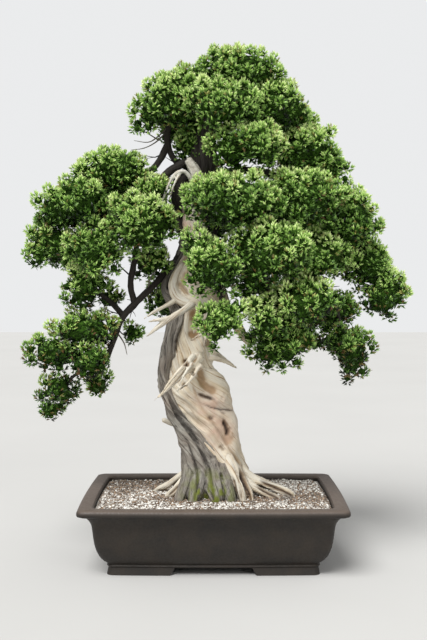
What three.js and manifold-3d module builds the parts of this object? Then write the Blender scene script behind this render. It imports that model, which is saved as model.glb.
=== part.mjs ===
// A procumbens nana juniper grown as a bonsai, in an unglazed rectangular pot.
// Millimetres, +Z up, the front of the tree faces -Y. The pot stands on z = 0 and its centre is the
// centre of the layout; the finished group is then moved so that its own box is centred on the origin.
// The tree is old: a band of living bark climbs the left of a bleached, twisted deadwood trunk, takes
// over as the whole trunk above it, and carries every branch and pad of foliage.

import * as THREE from "three";
import { ConvexGeometry } from "three/addons/geometries/ConvexGeometry.js";
import { mergeVertices } from "three/addons/utils/BufferGeometryUtils.js";
import Module from "manifold-3d";

const wasm = await Module();
wasm.setup();

// Pot
const potLength = 500;
const potDepth = 360;
const potHeight = 130;
const footHeight = 14;
const floorTop = 28;
const sideBow = 4;
const drainRadius = 14;
const drainX = 95;
const screenSide = 44;

// Gaps, fill levels, foliage and the hole in the soil
const clearance = 0.4;
const soilTop = 104;
const gritTop = 120;
const gritRelief = 2.6;
const tuftSpacing = 43;
const tuftLength = 22;
const shortestTuft = 8;
const tuftJitter = 0.22;
const tuftLean = 0.3;
const tuftLift = 0.12;
const padUnderside = 0.72;
const padLumps = 0.13;
const neighbourReach = 20;
const trunkHole = { x: 86, y: 70, depth: 60, middle: [0, 4, 120] };

const up = new THREE.Vector3(0, 0, 1);

// A repeatable random number from 0 to 1.
let seed = 20611;
function random() {
  seed = (seed + 0x6d2b79f5) | 0;
  let t = Math.imul(seed ^ (seed >>> 15), 1 | seed);
  t = (t + Math.imul(t ^ (t >>> 7), 61 | t)) ^ t;
  return ((t ^ (t >>> 14)) >>> 0) / 4294967296;
}

function scatter(width) {
  return new THREE.Vector3(random() - 0.5, random() - 0.5, random() - 0.5).multiplyScalar(width);
}

function solidOf(geometry) {
  const bare = geometry.clone();
  bare.deleteAttribute("normal");
  bare.deleteAttribute("uv");
  const merged = mergeVertices(bare, 1e-4);
  return new wasm.Manifold(
    new wasm.Mesh({
      numProp: 3,
      vertProperties: new Float32Array(merged.attributes.position.array),
      triVerts: new Uint32Array(merged.index.array),
    }),
  );
}

function geometryOf(solid) {
  const made = solid.getMesh();
  const geometry = new THREE.BufferGeometry();
  geometry.setAttribute("position", new THREE.BufferAttribute(new Float32Array(made.vertProperties), 3));
  geometry.setIndex(new THREE.BufferAttribute(new Uint32Array(made.triVerts), 1));
  geometry.computeVertexNormals();
  return geometry;
}

// The largest body of a solid, without the loose scraps that a cut leaves.
function largest(solid) {
  const bodies = solid.decompose();
  return bodies.reduce((best, body) => (body.volume() > best.volume() ? body : best));
}

function unite(solids) {
  return solids.reduce((whole, solid) => whole.add(solid));
}

const bonsai = new THREE.Group();

function addNode(name, solid, material) {
  const mesh = new THREE.Mesh(geometryOf(solid), material);
  mesh.name = name;
  bonsai.add(mesh);
}

// Materials
const clay = new THREE.MeshStandardMaterial({ color: 0x3a2e28, roughness: 0.62, metalness: 0 });
const earth = new THREE.MeshStandardMaterial({ color: 0x4a3524, roughness: 0.95, metalness: 0 });
const grit = new THREE.MeshStandardMaterial({ color: 0xc3beb4, roughness: 0.9, metalness: 0 });
const meshPlastic = new THREE.MeshStandardMaterial({ color: 0x1d1f1e, roughness: 0.5, metalness: 0 });
const bleached = new THREE.MeshStandardMaterial({ color: 0xcabfa8, roughness: 0.75, metalness: 0 });
const bark = new THREE.MeshStandardMaterial({ color: 0x6b6259, roughness: 0.9, metalness: 0 });
const foliage = new THREE.MeshStandardMaterial({ color: 0x3f6a26, roughness: 0.7, metalness: 0 });

// A closed surface over rings of equal length, each end closed by a fan to its own middle.
function loft(rings) {
  const count = rings[0].length;
  const middle = (ring) => ring.reduce((sum, p) => sum.add(p), new THREE.Vector3()).divideScalar(count);
  const points = [...rings.flat(), middle(rings[0]), middle(rings[rings.length - 1])];
  const faces = [];
  const low = rings.length * count;
  const high = low + 1;
  for (let k = 0; k < count; k++) {
    const next = (k + 1) % count;
    faces.push(low, next, k);
    faces.push(high, low - count + k, low - count + next);
    for (let j = 0; j + 1 < rings.length; j++) {
      const a = j * count + k;
      const b = j * count + next;
      faces.push(a, b, b + count, a, b + count, a + count);
    }
  }
  const geometry = new THREE.BufferGeometry().setFromPoints(points);
  geometry.setIndex(faces);
  return geometry;
}

// One loop of the pot's plan: a rounded rectangle, set in from the rim, with slightly bowed sides.
const cornerSteps = 2;
const longSideSteps = 4;
const shortSideSteps = 3;
function planLoop(inset, z, corner = 12) {
  const halfX = potLength / 2 - sideBow - inset;
  const halfY = potDepth / 2 - sideBow - inset;
  const round = Math.min(corner, halfX * 0.9, halfY * 0.9);
  const quarter = [];
  for (let k = 0; k <= cornerSteps; k++) {
    const turn = (k / cornerSteps) * (Math.PI / 2);
    quarter.push([halfX - round + round * Math.cos(turn), halfY - round + round * Math.sin(turn)]);
  }
  const mirrored = (sx, sy, reverse) => {
    const side = quarter.map(([x, y]) => [x * sx, y * sy]);
    return reverse ? side.reverse() : side;
  };
  const corners = [
    mirrored(1, 1, false),
    mirrored(-1, 1, true),
    mirrored(-1, -1, false),
    mirrored(1, -1, true),
  ];
  const loop = [];
  corners.forEach((points, k) => {
    loop.push(...points);
    const from = points[points.length - 1];
    const to = corners[(k + 1) % corners.length][0];
    const steps = k % 2 === 0 ? longSideSteps : shortSideSteps;
    for (let j = 1; j < steps; j++) {
      const share = j / steps;
      loop.push([from[0] + (to[0] - from[0]) * share, from[1] + (to[1] - from[1]) * share]);
    }
  });
  return loop.map(([x, y]) => {
    const bowX = sideBow * (1 - (y / halfY) ** 2) * Math.sign(x) * (Math.abs(x) / halfX) ** 8;
    const bowY = sideBow * (1 - (x / halfX) ** 2) * Math.sign(y) * (Math.abs(y) / halfY) ** 8;
    return new THREE.Vector3(x + bowX, y + bowY, z);
  });
}

// Inside wall of the pot, from its mouth down to its floor, as [inset, height].
const mouthInset = 28;
const insideWall = [
  [mouthInset, 123],
  [29, 106],
  [35, 70],
  [46, 40],
  [62, floorTop],
];

function potSolid() {
  const outside = [
    [60, footHeight],
    [52, footHeight],
    [50, 17],
    [52, 20],
    [42, 27],
    [33, 42],
    [26, 66],
    [20, 100],
    [18, 112],
    [5, 116],
    [0, 121],
    [1, 126],
    [7, potHeight],
  ];
  const lip = [
    [22, potHeight],
    [27, 128],
  ];
  const bodyRings = [...outside, ...lip, ...insideWall].map(([inset, z]) => planLoop(inset, z));
  const body = solidOf(loft(bodyRings));
  return largest(body.add(feetSolid()).subtract(drains(drainRadius)));
}

// Four bracket feet: a band under the wall, opened on each side by a gap with sloping ends.
function feetSolid() {
  const band = solidOf(loft([planLoop(50, 0), planLoop(53, footHeight + 2)]));
  const hollow = solidOf(loft([planLoop(72, -1), planLoop(70, footHeight + 3)]));
  const gap = (wide, narrow, length) => {
    const shape = new THREE.Shape([
      new THREE.Vector2(-wide / 2, -1),
      new THREE.Vector2(wide / 2, -1),
      new THREE.Vector2(narrow / 2, footHeight),
      new THREE.Vector2(-narrow / 2, footHeight),
    ]);
    const prism = new THREE.ExtrudeGeometry(shape, { depth: length, bevelEnabled: false });
    return prism.translate(0, 0, -length / 2).rotateX(Math.PI / 2);
  };
  const frontGap = solidOf(gap(160, 142, potDepth));
  const sideGap = solidOf(gap(104, 88, potLength).rotateZ(Math.PI / 2));
  return band.subtract(hollow).subtract(frontGap).subtract(sideGap);
}

function drains(radius) {
  const hole = new THREE.CylinderGeometry(radius, radius, 40, 16).rotateX(Math.PI / 2);
  return unite([-drainX, drainX].map((x) => solidOf(hole.clone().translate(x, 0, floorTop - 8))));
}

// A square of plastic mesh that keeps the soil in over a drain hole.
const screenThickness = 1.2;
function screenBlank(x, grow) {
  const side = screenSide + 2 * grow;
  const thick = screenThickness + 2 * grow;
  const middle = floorTop + clearance + screenThickness / 2;
  return solidOf(new THREE.BoxGeometry(side, side, thick).translate(x, 0, middle));
}

function screenSolid(x) {
  const eye = new THREE.BoxGeometry(9, 9, 10);
  let screen = screenBlank(x, 0);
  for (const across of [-7, 7])
    for (const along of [-7, 7])
      screen = screen.subtract(solidOf(eye.clone().translate(x + across, along, floorTop)));
  return screen;
}

// Wood: a closed cylinder bent along a curve, with its own radius at each point of the curve.
// turn(theta, share) scales the radius round the section; flat keeps the section's depth along Y apart.
function limb(points, radii, { sides = 6, steps = points.length * 2, depths, relief, grow = 0 } = {}) {
  const curve = new THREE.CatmullRomCurve3(points.map((p) => new THREE.Vector3(...p)), false, "centripetal");
  const frames = curve.computeFrenetFrames(steps, false);
  const tube = new THREE.CylinderGeometry(1, 1, 1, sides, steps);
  const place = tube.getAttribute("position");
  const valueAt = (values, share) => {
    const at = curve.getUtoTmapping(share) * (values.length - 1);
    const k = Math.min(Math.floor(at), values.length - 2);
    const mix = at - k;
    return values[k] + (values[k + 1] - values[k]) * mix * mix * (3 - 2 * mix);
  };
  for (let k = 0; k < place.count; k++) {
    const share = Math.min(1, Math.max(0, place.getY(k) + 0.5));
    const ring = Math.round(share * steps);
    const tangent = frames.tangents[ring];
    const centre = curve.getPointAt(share);
    if (ring === 0) centre.addScaledVector(tangent, -grow);
    if (ring === steps) centre.addScaledVector(tangent, grow);
    let across = frames.normals[ring];
    let back = frames.binormals[ring];
    if (depths) {
      back = new THREE.Vector3(0, 1, 0).addScaledVector(tangent, -tangent.y).normalize();
      across = new THREE.Vector3().crossVectors(back, tangent);
    }
    const x = place.getX(k);
    const z = place.getZ(k);
    const wave = relief ? relief(Math.atan2(z, x), share) : 1;
    const wide = valueAt(radii, share) * wave + grow;
    const deep = depths ? valueAt(depths, share) * wave + grow : wide;
    centre.addScaledVector(across, x * wide).addScaledVector(back, depths ? z * deep : -z * deep);
    place.setXYZ(k, centre.x, centre.y, centre.z);
  }
  const solid = solidOf(tube);
  return solid.volume() < 0 ? solidOf(flipped(tube)) : solid;
}

function flipped(geometry) {
  const order = geometry.index.array;
  for (let k = 0; k < order.length; k += 3) [order[k], order[k + 1]] = [order[k + 1], order[k]];
  return geometry;
}

// Living wood, from the soil up: [x, y, z, half width, half depth] of the bark band and upper trunk.
const livingTrunk = [
  [-16, -14, 92, 46, 32],
  [-16, -16, 122, 48, 38],
  [-20, -18, 165, 44, 35],
  [-28, -17, 198, 37, 34],
  [-39, -14, 229, 27, 33],
  [-56, -10, 258, 19, 31],
  [-76, -8, 287, 14, 28],
  [-88, -6, 316, 11.5, 25],
  [-94, -5, 338, 11.5, 23],
  [-96, -6, 361, 11, 21],
  [-87, -10, 402, 13.5, 20],
  [-80, -14, 434, 13.5, 19],
  [-72, -16, 454, 16, 18],
  [-66, -14, 470, 15, 17],
  [-77, -6, 500, 12, 15],
  [-91, 8, 520, 9, 13],
  [-90, 18, 541, 9, 12],
  [-78, 28, 566, 11, 12],
  [-66, 32, 596, 14, 14],
  [-64, 32, 634, 16, 16],
  [-66, 28, 668, 16, 16],
  [-54, 22, 704, 17, 17],
  [-30, 14, 734, 20, 19],
  [-12, 6, 762, 22, 20],
  [-14, 0, 795, 20, 18],
  [-10, -2, 828, 17, 15],
  [5, -2, 867, 13, 12],
  [24, 0, 908, 9, 9],
  [36, 0, 945, 5, 5],
];

// Deadwood trunk, from the soil up, in the same columns.
const deadTrunk = [
  [10, 8, 92, 60, 50],
  [9, 8, 122, 62, 52],
  [8, 7, 165, 57, 46],
  [3, 6, 198, 50, 43],
  [-1, 6, 229, 48, 42],
  [-6, 6, 258, 50, 42],
  [-18, 6, 287, 54, 43],
  [-28, 6, 316, 57, 43],
  [-37, 5, 336, 53, 41],
  [-45, 5, 358, 46, 39],
  [-46, 4, 376, 44, 37],
  [-42, 3, 402, 40, 36],
  [-39, 0, 434, 35, 33],
  [-34, -4, 456, 33, 31],
  [-24, -6, 474, 39, 32],
  [-19, -6, 493, 50, 32],
  [-24, -6, 509, 49, 31],
  [-34, -5, 524, 45, 29],
  [-42, -4, 543, 36, 27],
  [-44, -4, 562, 28, 24],
  [-45, -4, 586, 22, 21],
  [-46, -4, 619, 19, 18],
  [-47, -6, 654, 17, 16],
  [-44, -10, 685, 15, 14],
  [-38, -16, 708, 12, 12],
  [-30, -20, 727, 11, 10],
  [-36, -22, 750, 10, 9],
  [-47, -22, 770, 7, 7],
];

// Jins, the bare dead branches, and the bleached roots: [points, radii].
const jins = [
  [[[-60, -20, 510], [-92, -40, 492], [-113, -46, 481], [-132, -50, 468]], [6, 4, 3.2, 1.2]],
  [
    [[-30, -20, 500], [-55, -56, 486], [-81, -66, 470], [-106, -70, 452], [-127, -72, 435]],
    [9, 6, 5, 4, 1.4],
  ],
  [[[-76, -62, 474], [-104, -74, 467], [-129, -78, 463]], [4, 3.2, 1.2]],
  [[[-8, -20, 452], [-14, -54, 444], [-31, -68, 435], [-50, -74, 423]], [8, 5, 3, 1]],
  [[[-12, -46, 447], [-14, -64, 432], [-20, -68, 413]], [5, 3.4, 1]],
  [[[-30, -30, 395], [-46, -58, 378], [-74, -70, 350], [-110, -76, 318]], [13, 9, 7, 1.6]],
  [[[-40, -50, 380], [-60, -72, 368], [-86, -82, 338]], [6, 4, 1.2]],
  [[[-40, -48, 388], [-50, -70, 366], [-66, -80, 342]], [6, 4.5, 1.2]],
  [[[-20, 0, 404], [8, -6, 392], [26, -12, 384], [46, -20, 372]], [18, 13, 5, 1.2]],
  [[[-55, 12, 258], [-84, 6, 264], [-104, 0, 270]], [7, 4.5, 2.5]],
  [[[-34, -14, 706], [-43, -32, 732], [-55, -37, 746], [-70, -40, 742], [-84, -42, 722], [-101, -46, 680]],
    [6, 5, 4.5, 4.5, 4, 2]],
  [[[-66, -38, 738], [-78, -46, 712], [-92, -50, 684]], [3.5, 3, 1.4]],
  [[[-4, 0, 498], [22, 2, 483], [42, 0, 458], [60, -10, 431], [73, -14, 416]], [15, 11.5, 9, 7.5, 4]],
];
const deadRoots = [
  [[[-34, 10, 172], [-62, 14, 156], [-88, 22, 138], [-110, 28, 126], [-124, 32, 115]], [12, 8, 6, 5, 3]],
  [[[-36, -12, 168], [-56, -24, 154], [-72, -28, 138], [-86, -24, 126], [-96, -20, 115]], [12, 9, 7.5, 6, 3]],
  [[[34, -2, 180], [64, -4, 158], [92, -6, 146], [122, -8, 136], [146, -10, 127], [160, -12, 115]],
    [18, 13, 9, 8, 7, 4]],
  [[[40, 10, 172], [76, 18, 152], [110, 24, 139], [140, 28, 127], [154, 30, 115]], [13, 8, 6, 5, 3]],
  [[[44, -14, 166], [74, -24, 144], [100, -30, 131], [124, -36, 122], [136, -38, 114]], [12, 8, 6.5, 5, 3]],
  [[[26, -20, 198], [40, -38, 168], [50, -52, 142], [57, -60, 116]], [15, 12, 9.5, 6]],
  [[[44, -18, 178], [59, -36, 152], [69, -48, 133], [74, -54, 116]], [11, 8, 6.5, 4]],
  [[[10, 30, 172], [38, 56, 150], [64, 78, 132], [84, 94, 115]], [15, 11, 8, 4]],
  [[[-16, 30, 168], [-38, 58, 146], [-58, 80, 129], [-74, 98, 115]], [14, 10, 7, 4]],
  [[[6, 36, 168], [4, 68, 144], [8, 94, 127], [8, 114, 114]], [14, 10, 7, 3.5]],
];
const barkRoots = [
  [[[-38, -26, 196], [-50, -44, 158], [-60, -54, 134], [-66, -60, 119]], [17, 14, 11, 8]],
  [[[-22, -34, 190], [-30, -52, 152], [-36, -64, 132], [-40, -70, 119]], [16, 14, 12, 9]],
  [[[-4, -32, 190], [0, -54, 152], [4, -66, 132], [6, -72, 119]], [17, 14, 12, 9]],
  [[[14, -28, 182], [24, -50, 150], [30, -62, 132], [34, -68, 119]], [15, 13, 11, 8]],
];

// Living branches: [points, radii].
const branches = {
  lowLeft: [
    [[-74, 26, 570], [-92, 18, 560], [-110, 2, 537], [-150, -10, 497], [-176, -12, 468], [-194, -12, 422],
      [-211, -15, 383], [-258, -10, 364], [-292, 0, 337]],
    [9, 8, 7, 9, 8, 6.5, 5, 3.5, 2.5],
  ],
  left: [
    [[-152, -10, 494], [-159, -12, 532], [-157, -15, 564], [-148, -20, 607], [-165, -20, 641],
      [-205, -16, 668],
      [-248, -10, 664]],
    [8, 7, 6.5, 6, 5, 4, 3],
  ],
  leftInner: [[[-148, -20, 607], [-130, -30, 655], [-120, -30, 700]], [5, 4, 3]],
  leftSpur: [[[-172, -12, 470], [-206, 4, 504], [-244, 0, 528]], [6, 4.5, 3]],
  crownLeft: [[[-16, 6, 768], [-46, 8, 768], [-71, 12, 772], [-91, 12, 790], [-91, 8, 822], [-81, 0, 858]],
    [13, 10, 10, 10, 8, 4]],
  crownLeftFork: [[[-86, 12, 782], [-120, 8, 758], [-148, 0, 738], [-176, -4, 726]], [7, 6.5, 5, 3]],
  barkSpur: [
    [[-22, 6, 756], [-48, -2, 768], [-72, -6, 758], [-96, -8, 740], [-118, -18, 708]],
    [10, 8.5, 8, 7, 4],
  ],
  rightHigh: [[[-15, 8, 748], [16, 2, 747], [57, -8, 752], [105, -20, 744], [165, -30, 713], [235, -10, 686],
    [284, 5, 629], [318, 15, 566]], [11, 9, 7.5, 7, 6, 5, 4, 2.5]],
  rightLow: [
    [[-72, 28, 580], [-30, 32, 590], [10, -10, 580], [44, -50, 568], [102, -72, 560], [162, -68, 551],
    [221, -40, 513], [250, -20, 440]], [10, 9, 9, 8, 7, 6, 4.5, 2.5]],
  rightUnder: [[[96, -70, 560], [104, -70, 500], [118, -62, 452], [158, -56, 430], [205, -40, 420]],
    [5.5, 5, 4.5, 3.5, 2.5]],
  front: [
    [[-62, 28, 634], [-80, -14, 652], [-50, -54, 656], [-4, -76, 654], [34, -104, 666]],
    [10, 8, 7, 6, 4],
  ],
  frontLow: [[[-10, -74, 652], [-2, -96, 606], [4, -118, 569], [12, -132, 524], [16, -140, 472]],
    [5, 4.5, 4, 3.5, 2.5]],
  back: [[[-66, 34, 640], [-42, 76, 636], [-20, 124, 642]], [9, 7, 4]],
  backLow: [[[-48, 68, 636], [-58, 100, 572], [-74, 116, 500]], [6, 5, 3]],
  backRight: [
    [[-60, 26, 684], [3, 55, 668], [84, 80, 656], [165, 90, 648], [247, 95, 588]],
    [9, 8, 6.5, 5, 3],
  ],
  backLeft: [[[-66, 32, 664], [-117, 56, 658], [-190, 78, 658], [-262, 76, 598]], [8, 7, 5, 3]],
  crownRight: [[[-14, 0, 810], [42, -5, 838], [94, -5, 858], [149, 5, 852], [188, 16, 818]], [9, 7, 6, 5, 3]],
  crownFront: [[[-14, 0, 797], [22, -30, 790], [66, -66, 780]], [8, 6, 3]],
  crownBack: [[[-10, 0, 830], [17, 45, 862], [50, 90, 900]], [8, 6, 3.5]],
};

// Foliage pads by part of the tree: middle [x, y, z], then half sizes [x, y, z] of the core.
const padPlan = {
  crown: [
    [56, 0, 929, 83, 73, 50],
    [-70, -10, 874, 74, 73, 57],
    [20, -75, 858, 78, 56, 50],
    [118, -5, 866, 67, 67, 53],
    [172, 20, 784, 66, 67, 60],
    [66, -75, 792, 87, 56, 38],
    [55, 98, 900, 103, 67, 65],
    [-50, 80, 850, 72, 56, 50],
    [136, 100, 836, 83, 62, 55],
    [-38, 26, 828, 38, 31, 24],
  ],
  right: [
    [35, -108, 680, 101, 65, 53],
    [160, -60, 688, 94, 69, 54],
    [262, 0, 650, 65, 67, 67],
    [306, 20, 570, 56, 56, 58],
    [334, 10, 506, 38, 40, 43],
    [100, -112, 592, 94, 58, 60],
    [2, -125, 562, 58, 47, 55],
    [185, -55, 577, 69, 58, 55],
    [16, -143, 467, 40, 34, 36],
    [96, -80, 465, 65, 47, 55],
    [145, -55, 421, 81, 54, 50],
    [252, -15, 412, 52, 47, 58],
    [172, -104, 500, 63, 47, 48],
    [238, 10, 476, 47, 43, 50],
    [150, 90, 664, 101, 63, 65],
    [262, 95, 584, 65, 52, 53],
    [160, 76, 488, 78, 52, 55],
  ],
  left: [
    [-175, -5, 748, 74, 63, 50],
    [-258, -15, 680, 74, 65, 60],
    [-304, 0, 612, 56, 47, 50],
    [-140, -62, 644, 69, 52, 60],
    [-220, -52, 600, 67, 47, 55],
    [-116, -34, 712, 40, 40, 36],
    [-248, 0, 522, 43, 38, 50],
    [-205, 34, 504, 36, 31, 24],
    [-128, 14, 577, 40, 34, 31],
    [-245, -14, 440, 72, 52, 38],
    [-298, -4, 396, 56, 45, 46],
    [-230, -42, 386, 45, 34, 34],
    [-300, 0, 331, 40, 34, 31],
    [-318, 4, 290, 30, 25, 22],
    [-226, 8, 333, 29, 25, 22],
    [-160, 22, 436, 19, 18, 14],
    [-200, 80, 672, 87, 52, 60],
    [-270, 74, 577, 60, 40, 53],
  ],
  back: [
    [-18, 128, 662, 85, 54, 62],
    [-75, 118, 500, 60, 45, 60],
  ],
};

function rowLimb(rows, options) {
  return limb(
    rows.map(([x, y, z]) => [x, y, z]),
    rows.map((row) => row[3]),
    { ...options, depths: rows.map((row) => row[4]) },
  );
}

// Ridges that wind round the deadwood as they climb, and the coarser furrows of the bark. Both fade
// out towards the foot of the trunk.
const fade = (share) => Math.min(1, 12 * share);
const windingRidges = (theta, share) =>
  1 + fade(share) * (0.04 * Math.sin(2 * theta + 9 * share) + 0.05 * Math.sin(5 * theta - 14 * share + 1.3));
const barkFurrows = (theta, share) =>
  1 + fade(share) * (0.05 * Math.sin(3 * theta + 6 * share + 0.6) + 0.05 * Math.sin(6 * theta - 8 * share));

const pads = Object.entries(padPlan).flatMap(([part, rows]) =>
  rows.map(([x, y, z, a, b, c], k) => ({
    name: `foliage_${part}_${String(k + 1).padStart(2, "0")}`,
    middle: new THREE.Vector3(x, y, z),
    half: new THREE.Vector3(a, b, c),
    phase: k * 1.7 + part.length,
  })),
);

// A twig from the nearest point of a limb into each pad that no limb enters by itself.
function twigs() {
  const stations = [];
  for (const [points] of Object.values(branches)) stations.push(...stationsOf(points));
  stations.push(...stationsOf(livingTrunk.slice(17).map(([x, y, z]) => [x, y, z])));
  return pads.flatMap((pad) => {
    const depth = (p) => p.clone().sub(pad.middle).divide(pad.half).length();
    const near = stations.reduce((best, p) => (depth(p) < depth(best) ? p : best));
    if (depth(near) < 0.72) return [];
    const end = near.clone().lerp(pad.middle, 1 - 0.45 / depth(near));
    const bend = near.clone().lerp(end, 0.5).addScaledVector(up, -0.08 * near.distanceTo(end));
    return [[[near.toArray(), bend.toArray(), end.toArray()], [4.2, 3.6, 2.6]]];
  });
}

function stationsOf(points) {
  const curve = new THREE.CatmullRomCurve3(points.map((p) => new THREE.Vector3(...p)), false, "centripetal");
  return curve.getSpacedPoints(points.length * 6);
}

function livingWood(grow) {
  const trunk = rowLimb(livingTrunk, { sides: 9, steps: 28, relief: barkFurrows, grow });
  const boughs = Object.values(branches).map(([points, radii]) =>
    limb(points, radii, { sides: radii[0] > 7.5 ? 5 : 4, steps: points.length, grow }),
  );
  const roots = barkRoots.map(([points, radii]) => limb(points, radii, { sides: 6, steps: 3, grow }));
  const shoots = twigs().map(([points, radii]) => limb(points, radii, { sides: 4, steps: 2, grow }));
  return unite([trunk, ...boughs, ...roots, ...shoots]);
}

function deadWood(grow) {
  const trunk = rowLimb(deadTrunk, { sides: 14, steps: 27, relief: windingRidges, grow });
  const bare = jins.map(([points, radii]) => limb(points, radii, { sides: 5, steps: points.length, grow }));
  const roots = deadRoots.map(([points, radii]) => limb(points, radii, { sides: 6, steps: 4, grow }));
  return unite([trunk, ...bare, ...roots]);
}

// Each pad keeps to its own side of a plane between it and every neighbour, so no two pads touch.
function wallsOf(pad) {
  const walls = [];
  for (const other of pads) {
    if (other === pad) continue;
    const between = other.middle.clone().sub(pad.middle);
    const normal = between.clone();
    for (const axis of ["x", "y", "z"]) normal[axis] /= (pad.half[axis] + other.half[axis]) ** 2;
    normal.normalize();
    const reach = (half) => Math.hypot(normal.x * half.x, normal.y * half.y, normal.z * half.z);
    const apart = between.dot(normal);
    const own = reach(pad.half) + neighbourReach;
    const theirs = reach(other.half) + neighbourReach;
    if (apart > own + theirs) continue;
    walls.push({ normal, limit: (apart * own) / (own + theirs) - clearance });
  }
  return walls;
}

// How far from the pad's middle a ray may run before it meets a wall.
function room(walls, ray) {
  return walls.reduce((most, { normal, limit }) => {
    const towards = normal.dot(ray);
    return towards > 1e-6 ? Math.min(most, limit / towards) : most;
  }, Infinity);
}

// A pad is a lumpy core whose faces each rise to a narrow neck and then a three-sided needle tip.
function padSolid(pad) {
  const walls = wallsOf(pad);
  const { x: halfX, y: halfY, z: halfZ } = pad.half;
  const area = (4 / 3) * Math.PI * (halfX * halfY + halfY * halfZ + halfZ * halfX);
  const cell = (Math.sqrt(3) / 2) * tuftSpacing ** 2;
  const count = Math.max(10, Math.round(area / cell));
  const rays = [];
  for (let k = 0; k < count; k++) {
    const height = 1 - (2 * (k + 0.5)) / count;
    const turn = k * Math.PI * (3 - Math.sqrt(5)) + pad.phase;
    const flat = Math.sqrt(1 - height * height);
    const ray = new THREE.Vector3(flat * Math.cos(turn), flat * Math.sin(turn), height);
    rays.push(ray.add(scatter(tuftJitter)).normalize());
  }
  const hull = mergeVertices(new ConvexGeometry(rays).deleteAttribute("normal"), 1e-5);
  const place = hull.getAttribute("position");
  const points = [];
  const walled = [];
  for (let k = 0; k < place.count; k++) {
    const ray = new THREE.Vector3().fromBufferAttribute(place, k).normalize();
    const under = ray.z < 0 ? padUnderside : 1;
    const full = 1 / Math.hypot(ray.x / halfX, ray.y / halfY, ray.z / (halfZ * under));
    const lumps = 1 + padLumps * Math.sin(5.1 * ray.x + 3.3 * ray.y + 4.2 * ray.z + pad.phase * 2.3);
    const most = room(walls, ray);
    walled.push(most < full * lumps);
    points.push(ray.multiplyScalar(Math.max(2, Math.min(full * lumps, most))));
  }
  const faces = [];
  const order = hull.index.array;
  for (let k = 0; k < order.length; k += 3) {
    const corners = [order[k], order[k + 1], order[k + 2]];
    const [a, b, c] = corners.map((n) => points[n]);
    const middle = a.clone().add(b).add(c).divideScalar(3);
    const normal = b.clone().sub(a).cross(c.clone().sub(a)).normalize();
    const way = normal.clone().addScaledVector(up, tuftLift).add(scatter(tuftLean)).normalize();
    const free = walls.reduce((most, { normal: wall, limit }) => {
      const towards = wall.dot(way);
      return towards > 1e-6 ? Math.min(most, (limit - wall.dot(middle)) / towards) : most;
    }, Infinity);
    const reach = Math.min(tuftLength * (0.8 + 0.4 * random()), free);
    if (corners.some((n) => walled[n]) || reach < shortestTuft) {
      faces.push(corners);
      continue;
    }
    points.push(middle.addScaledVector(way, reach));
    const tip = points.length - 1;
    for (let j = 0; j < 3; j++) faces.push([corners[j], corners[(j + 1) % 3], tip]);
  }
  const geometry = new THREE.BufferGeometry().setFromPoints(points);
  geometry.setIndex(faces.flat());
  return solidOf(geometry.translate(pad.middle.x, pad.middle.y, pad.middle.z));
}

// Soil fills the pot up to a low mound, and a bumpy layer of pale grit covers it.
function moundHeight(inset, level) {
  return level + 6 * Math.min(1, (inset - mouthInset) / 120) ** 1.5;
}

function soilSolid() {
  const wall = insideWall
    .slice()
    .reverse()
    .filter(([, z]) => z < soilTop - 4)
    .map(([inset, z]) => planLoop(inset + clearance, z + clearance));
  const top = [mouthInset + 3, 90].map((inset) => planLoop(inset, moundHeight(inset, soilTop)));
  return solidOf(loft([...wall, ...top]));
}

// Room in the soil for the foot of the trunk and its roots.
function trunkRoom() {
  const plug = new THREE.CylinderGeometry(1, 1, trunkHole.depth, 14).rotateX(Math.PI / 2);
  return solidOf(plug.scale(trunkHole.x, trunkHole.y, 1).translate(...trunkHole.middle));
}

function gritSolid() {
  const under = [90, mouthInset + 3].map((inset) => planLoop(inset, moundHeight(inset, soilTop) + clearance));
  const rings = [mouthInset + 1.2, 50, 78, 112].map((inset, k) =>
    planLoop(inset, moundHeight(inset, gritTop)).map((p) => {
      const wander = k === 0 ? 0 : 9;
      return p.add(scatter(1).multiply(new THREE.Vector3(wander, wander, gritRelief)));
    }),
  );
  const geometry = loft([...under, ...rings]);
  const place = geometry.getAttribute("position");
  const points = [];
  for (let k = 0; k < place.count; k++) points.push(new THREE.Vector3().fromBufferAttribute(place, k));
  const order = geometry.index.array;
  const faces = [];
  for (let k = 0; k < order.length; k += 3) {
    const corners = [order[k], order[k + 1], order[k + 2]];
    const [a, b, c] = corners.map((n) => points[n]);
    const normal = b.clone().sub(a).cross(c.clone().sub(a)).normalize();
    if (normal.z < 0.7 || random() < 0.5) {
      faces.push(corners);
      continue;
    }
    const lift = gritRelief * (0.4 + random()) * (random() < 0.25 ? -0.6 : 1);
    points.push(a.clone().add(b).add(c).divideScalar(3).addScaledVector(up, lift));
    const top = points.length - 1;
    for (let j = 0; j < 3; j++) faces.push([corners[j], corners[(j + 1) % 3], top]);
  }
  const raised = new THREE.BufferGeometry().setFromPoints(points);
  raised.setIndex(faces.flat());
  return solidOf(raised);
}

// Assembly
const living = livingWood(0);
const livingWide = livingWood(clearance);
const dead = largest(deadWood(0).subtract(livingWide));
const woodWide = livingWide.add(deadWood(clearance));

addNode("pot", potSolid(), clay);
const screenRoom = unite([-drainX, drainX].map((x) => screenBlank(x, clearance)));
addNode("soil", soilSolid().subtract(trunkRoom()).subtract(screenRoom), earth);
addNode("grit_layer", largest(gritSolid().subtract(woodWide)), grit);
addNode("drain_screen_left", screenSolid(-drainX), meshPlastic);
addNode("drain_screen_right", screenSolid(drainX), meshPlastic);
addNode("deadwood", dead, bleached);
addNode("live_wood", largest(living), bark);
for (const pad of pads) addNode(pad.name, largest(padSolid(pad).subtract(woodWide)), foliage);

// The origin is the middle of the finished object's footprint on the surface that it stands on.
const box = new THREE.Box3().setFromObject(bonsai);
bonsai.position.set(-(box.min.x + box.max.x) / 2, -(box.min.y + box.max.y) / 2, 0);

export default bonsai;
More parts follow.
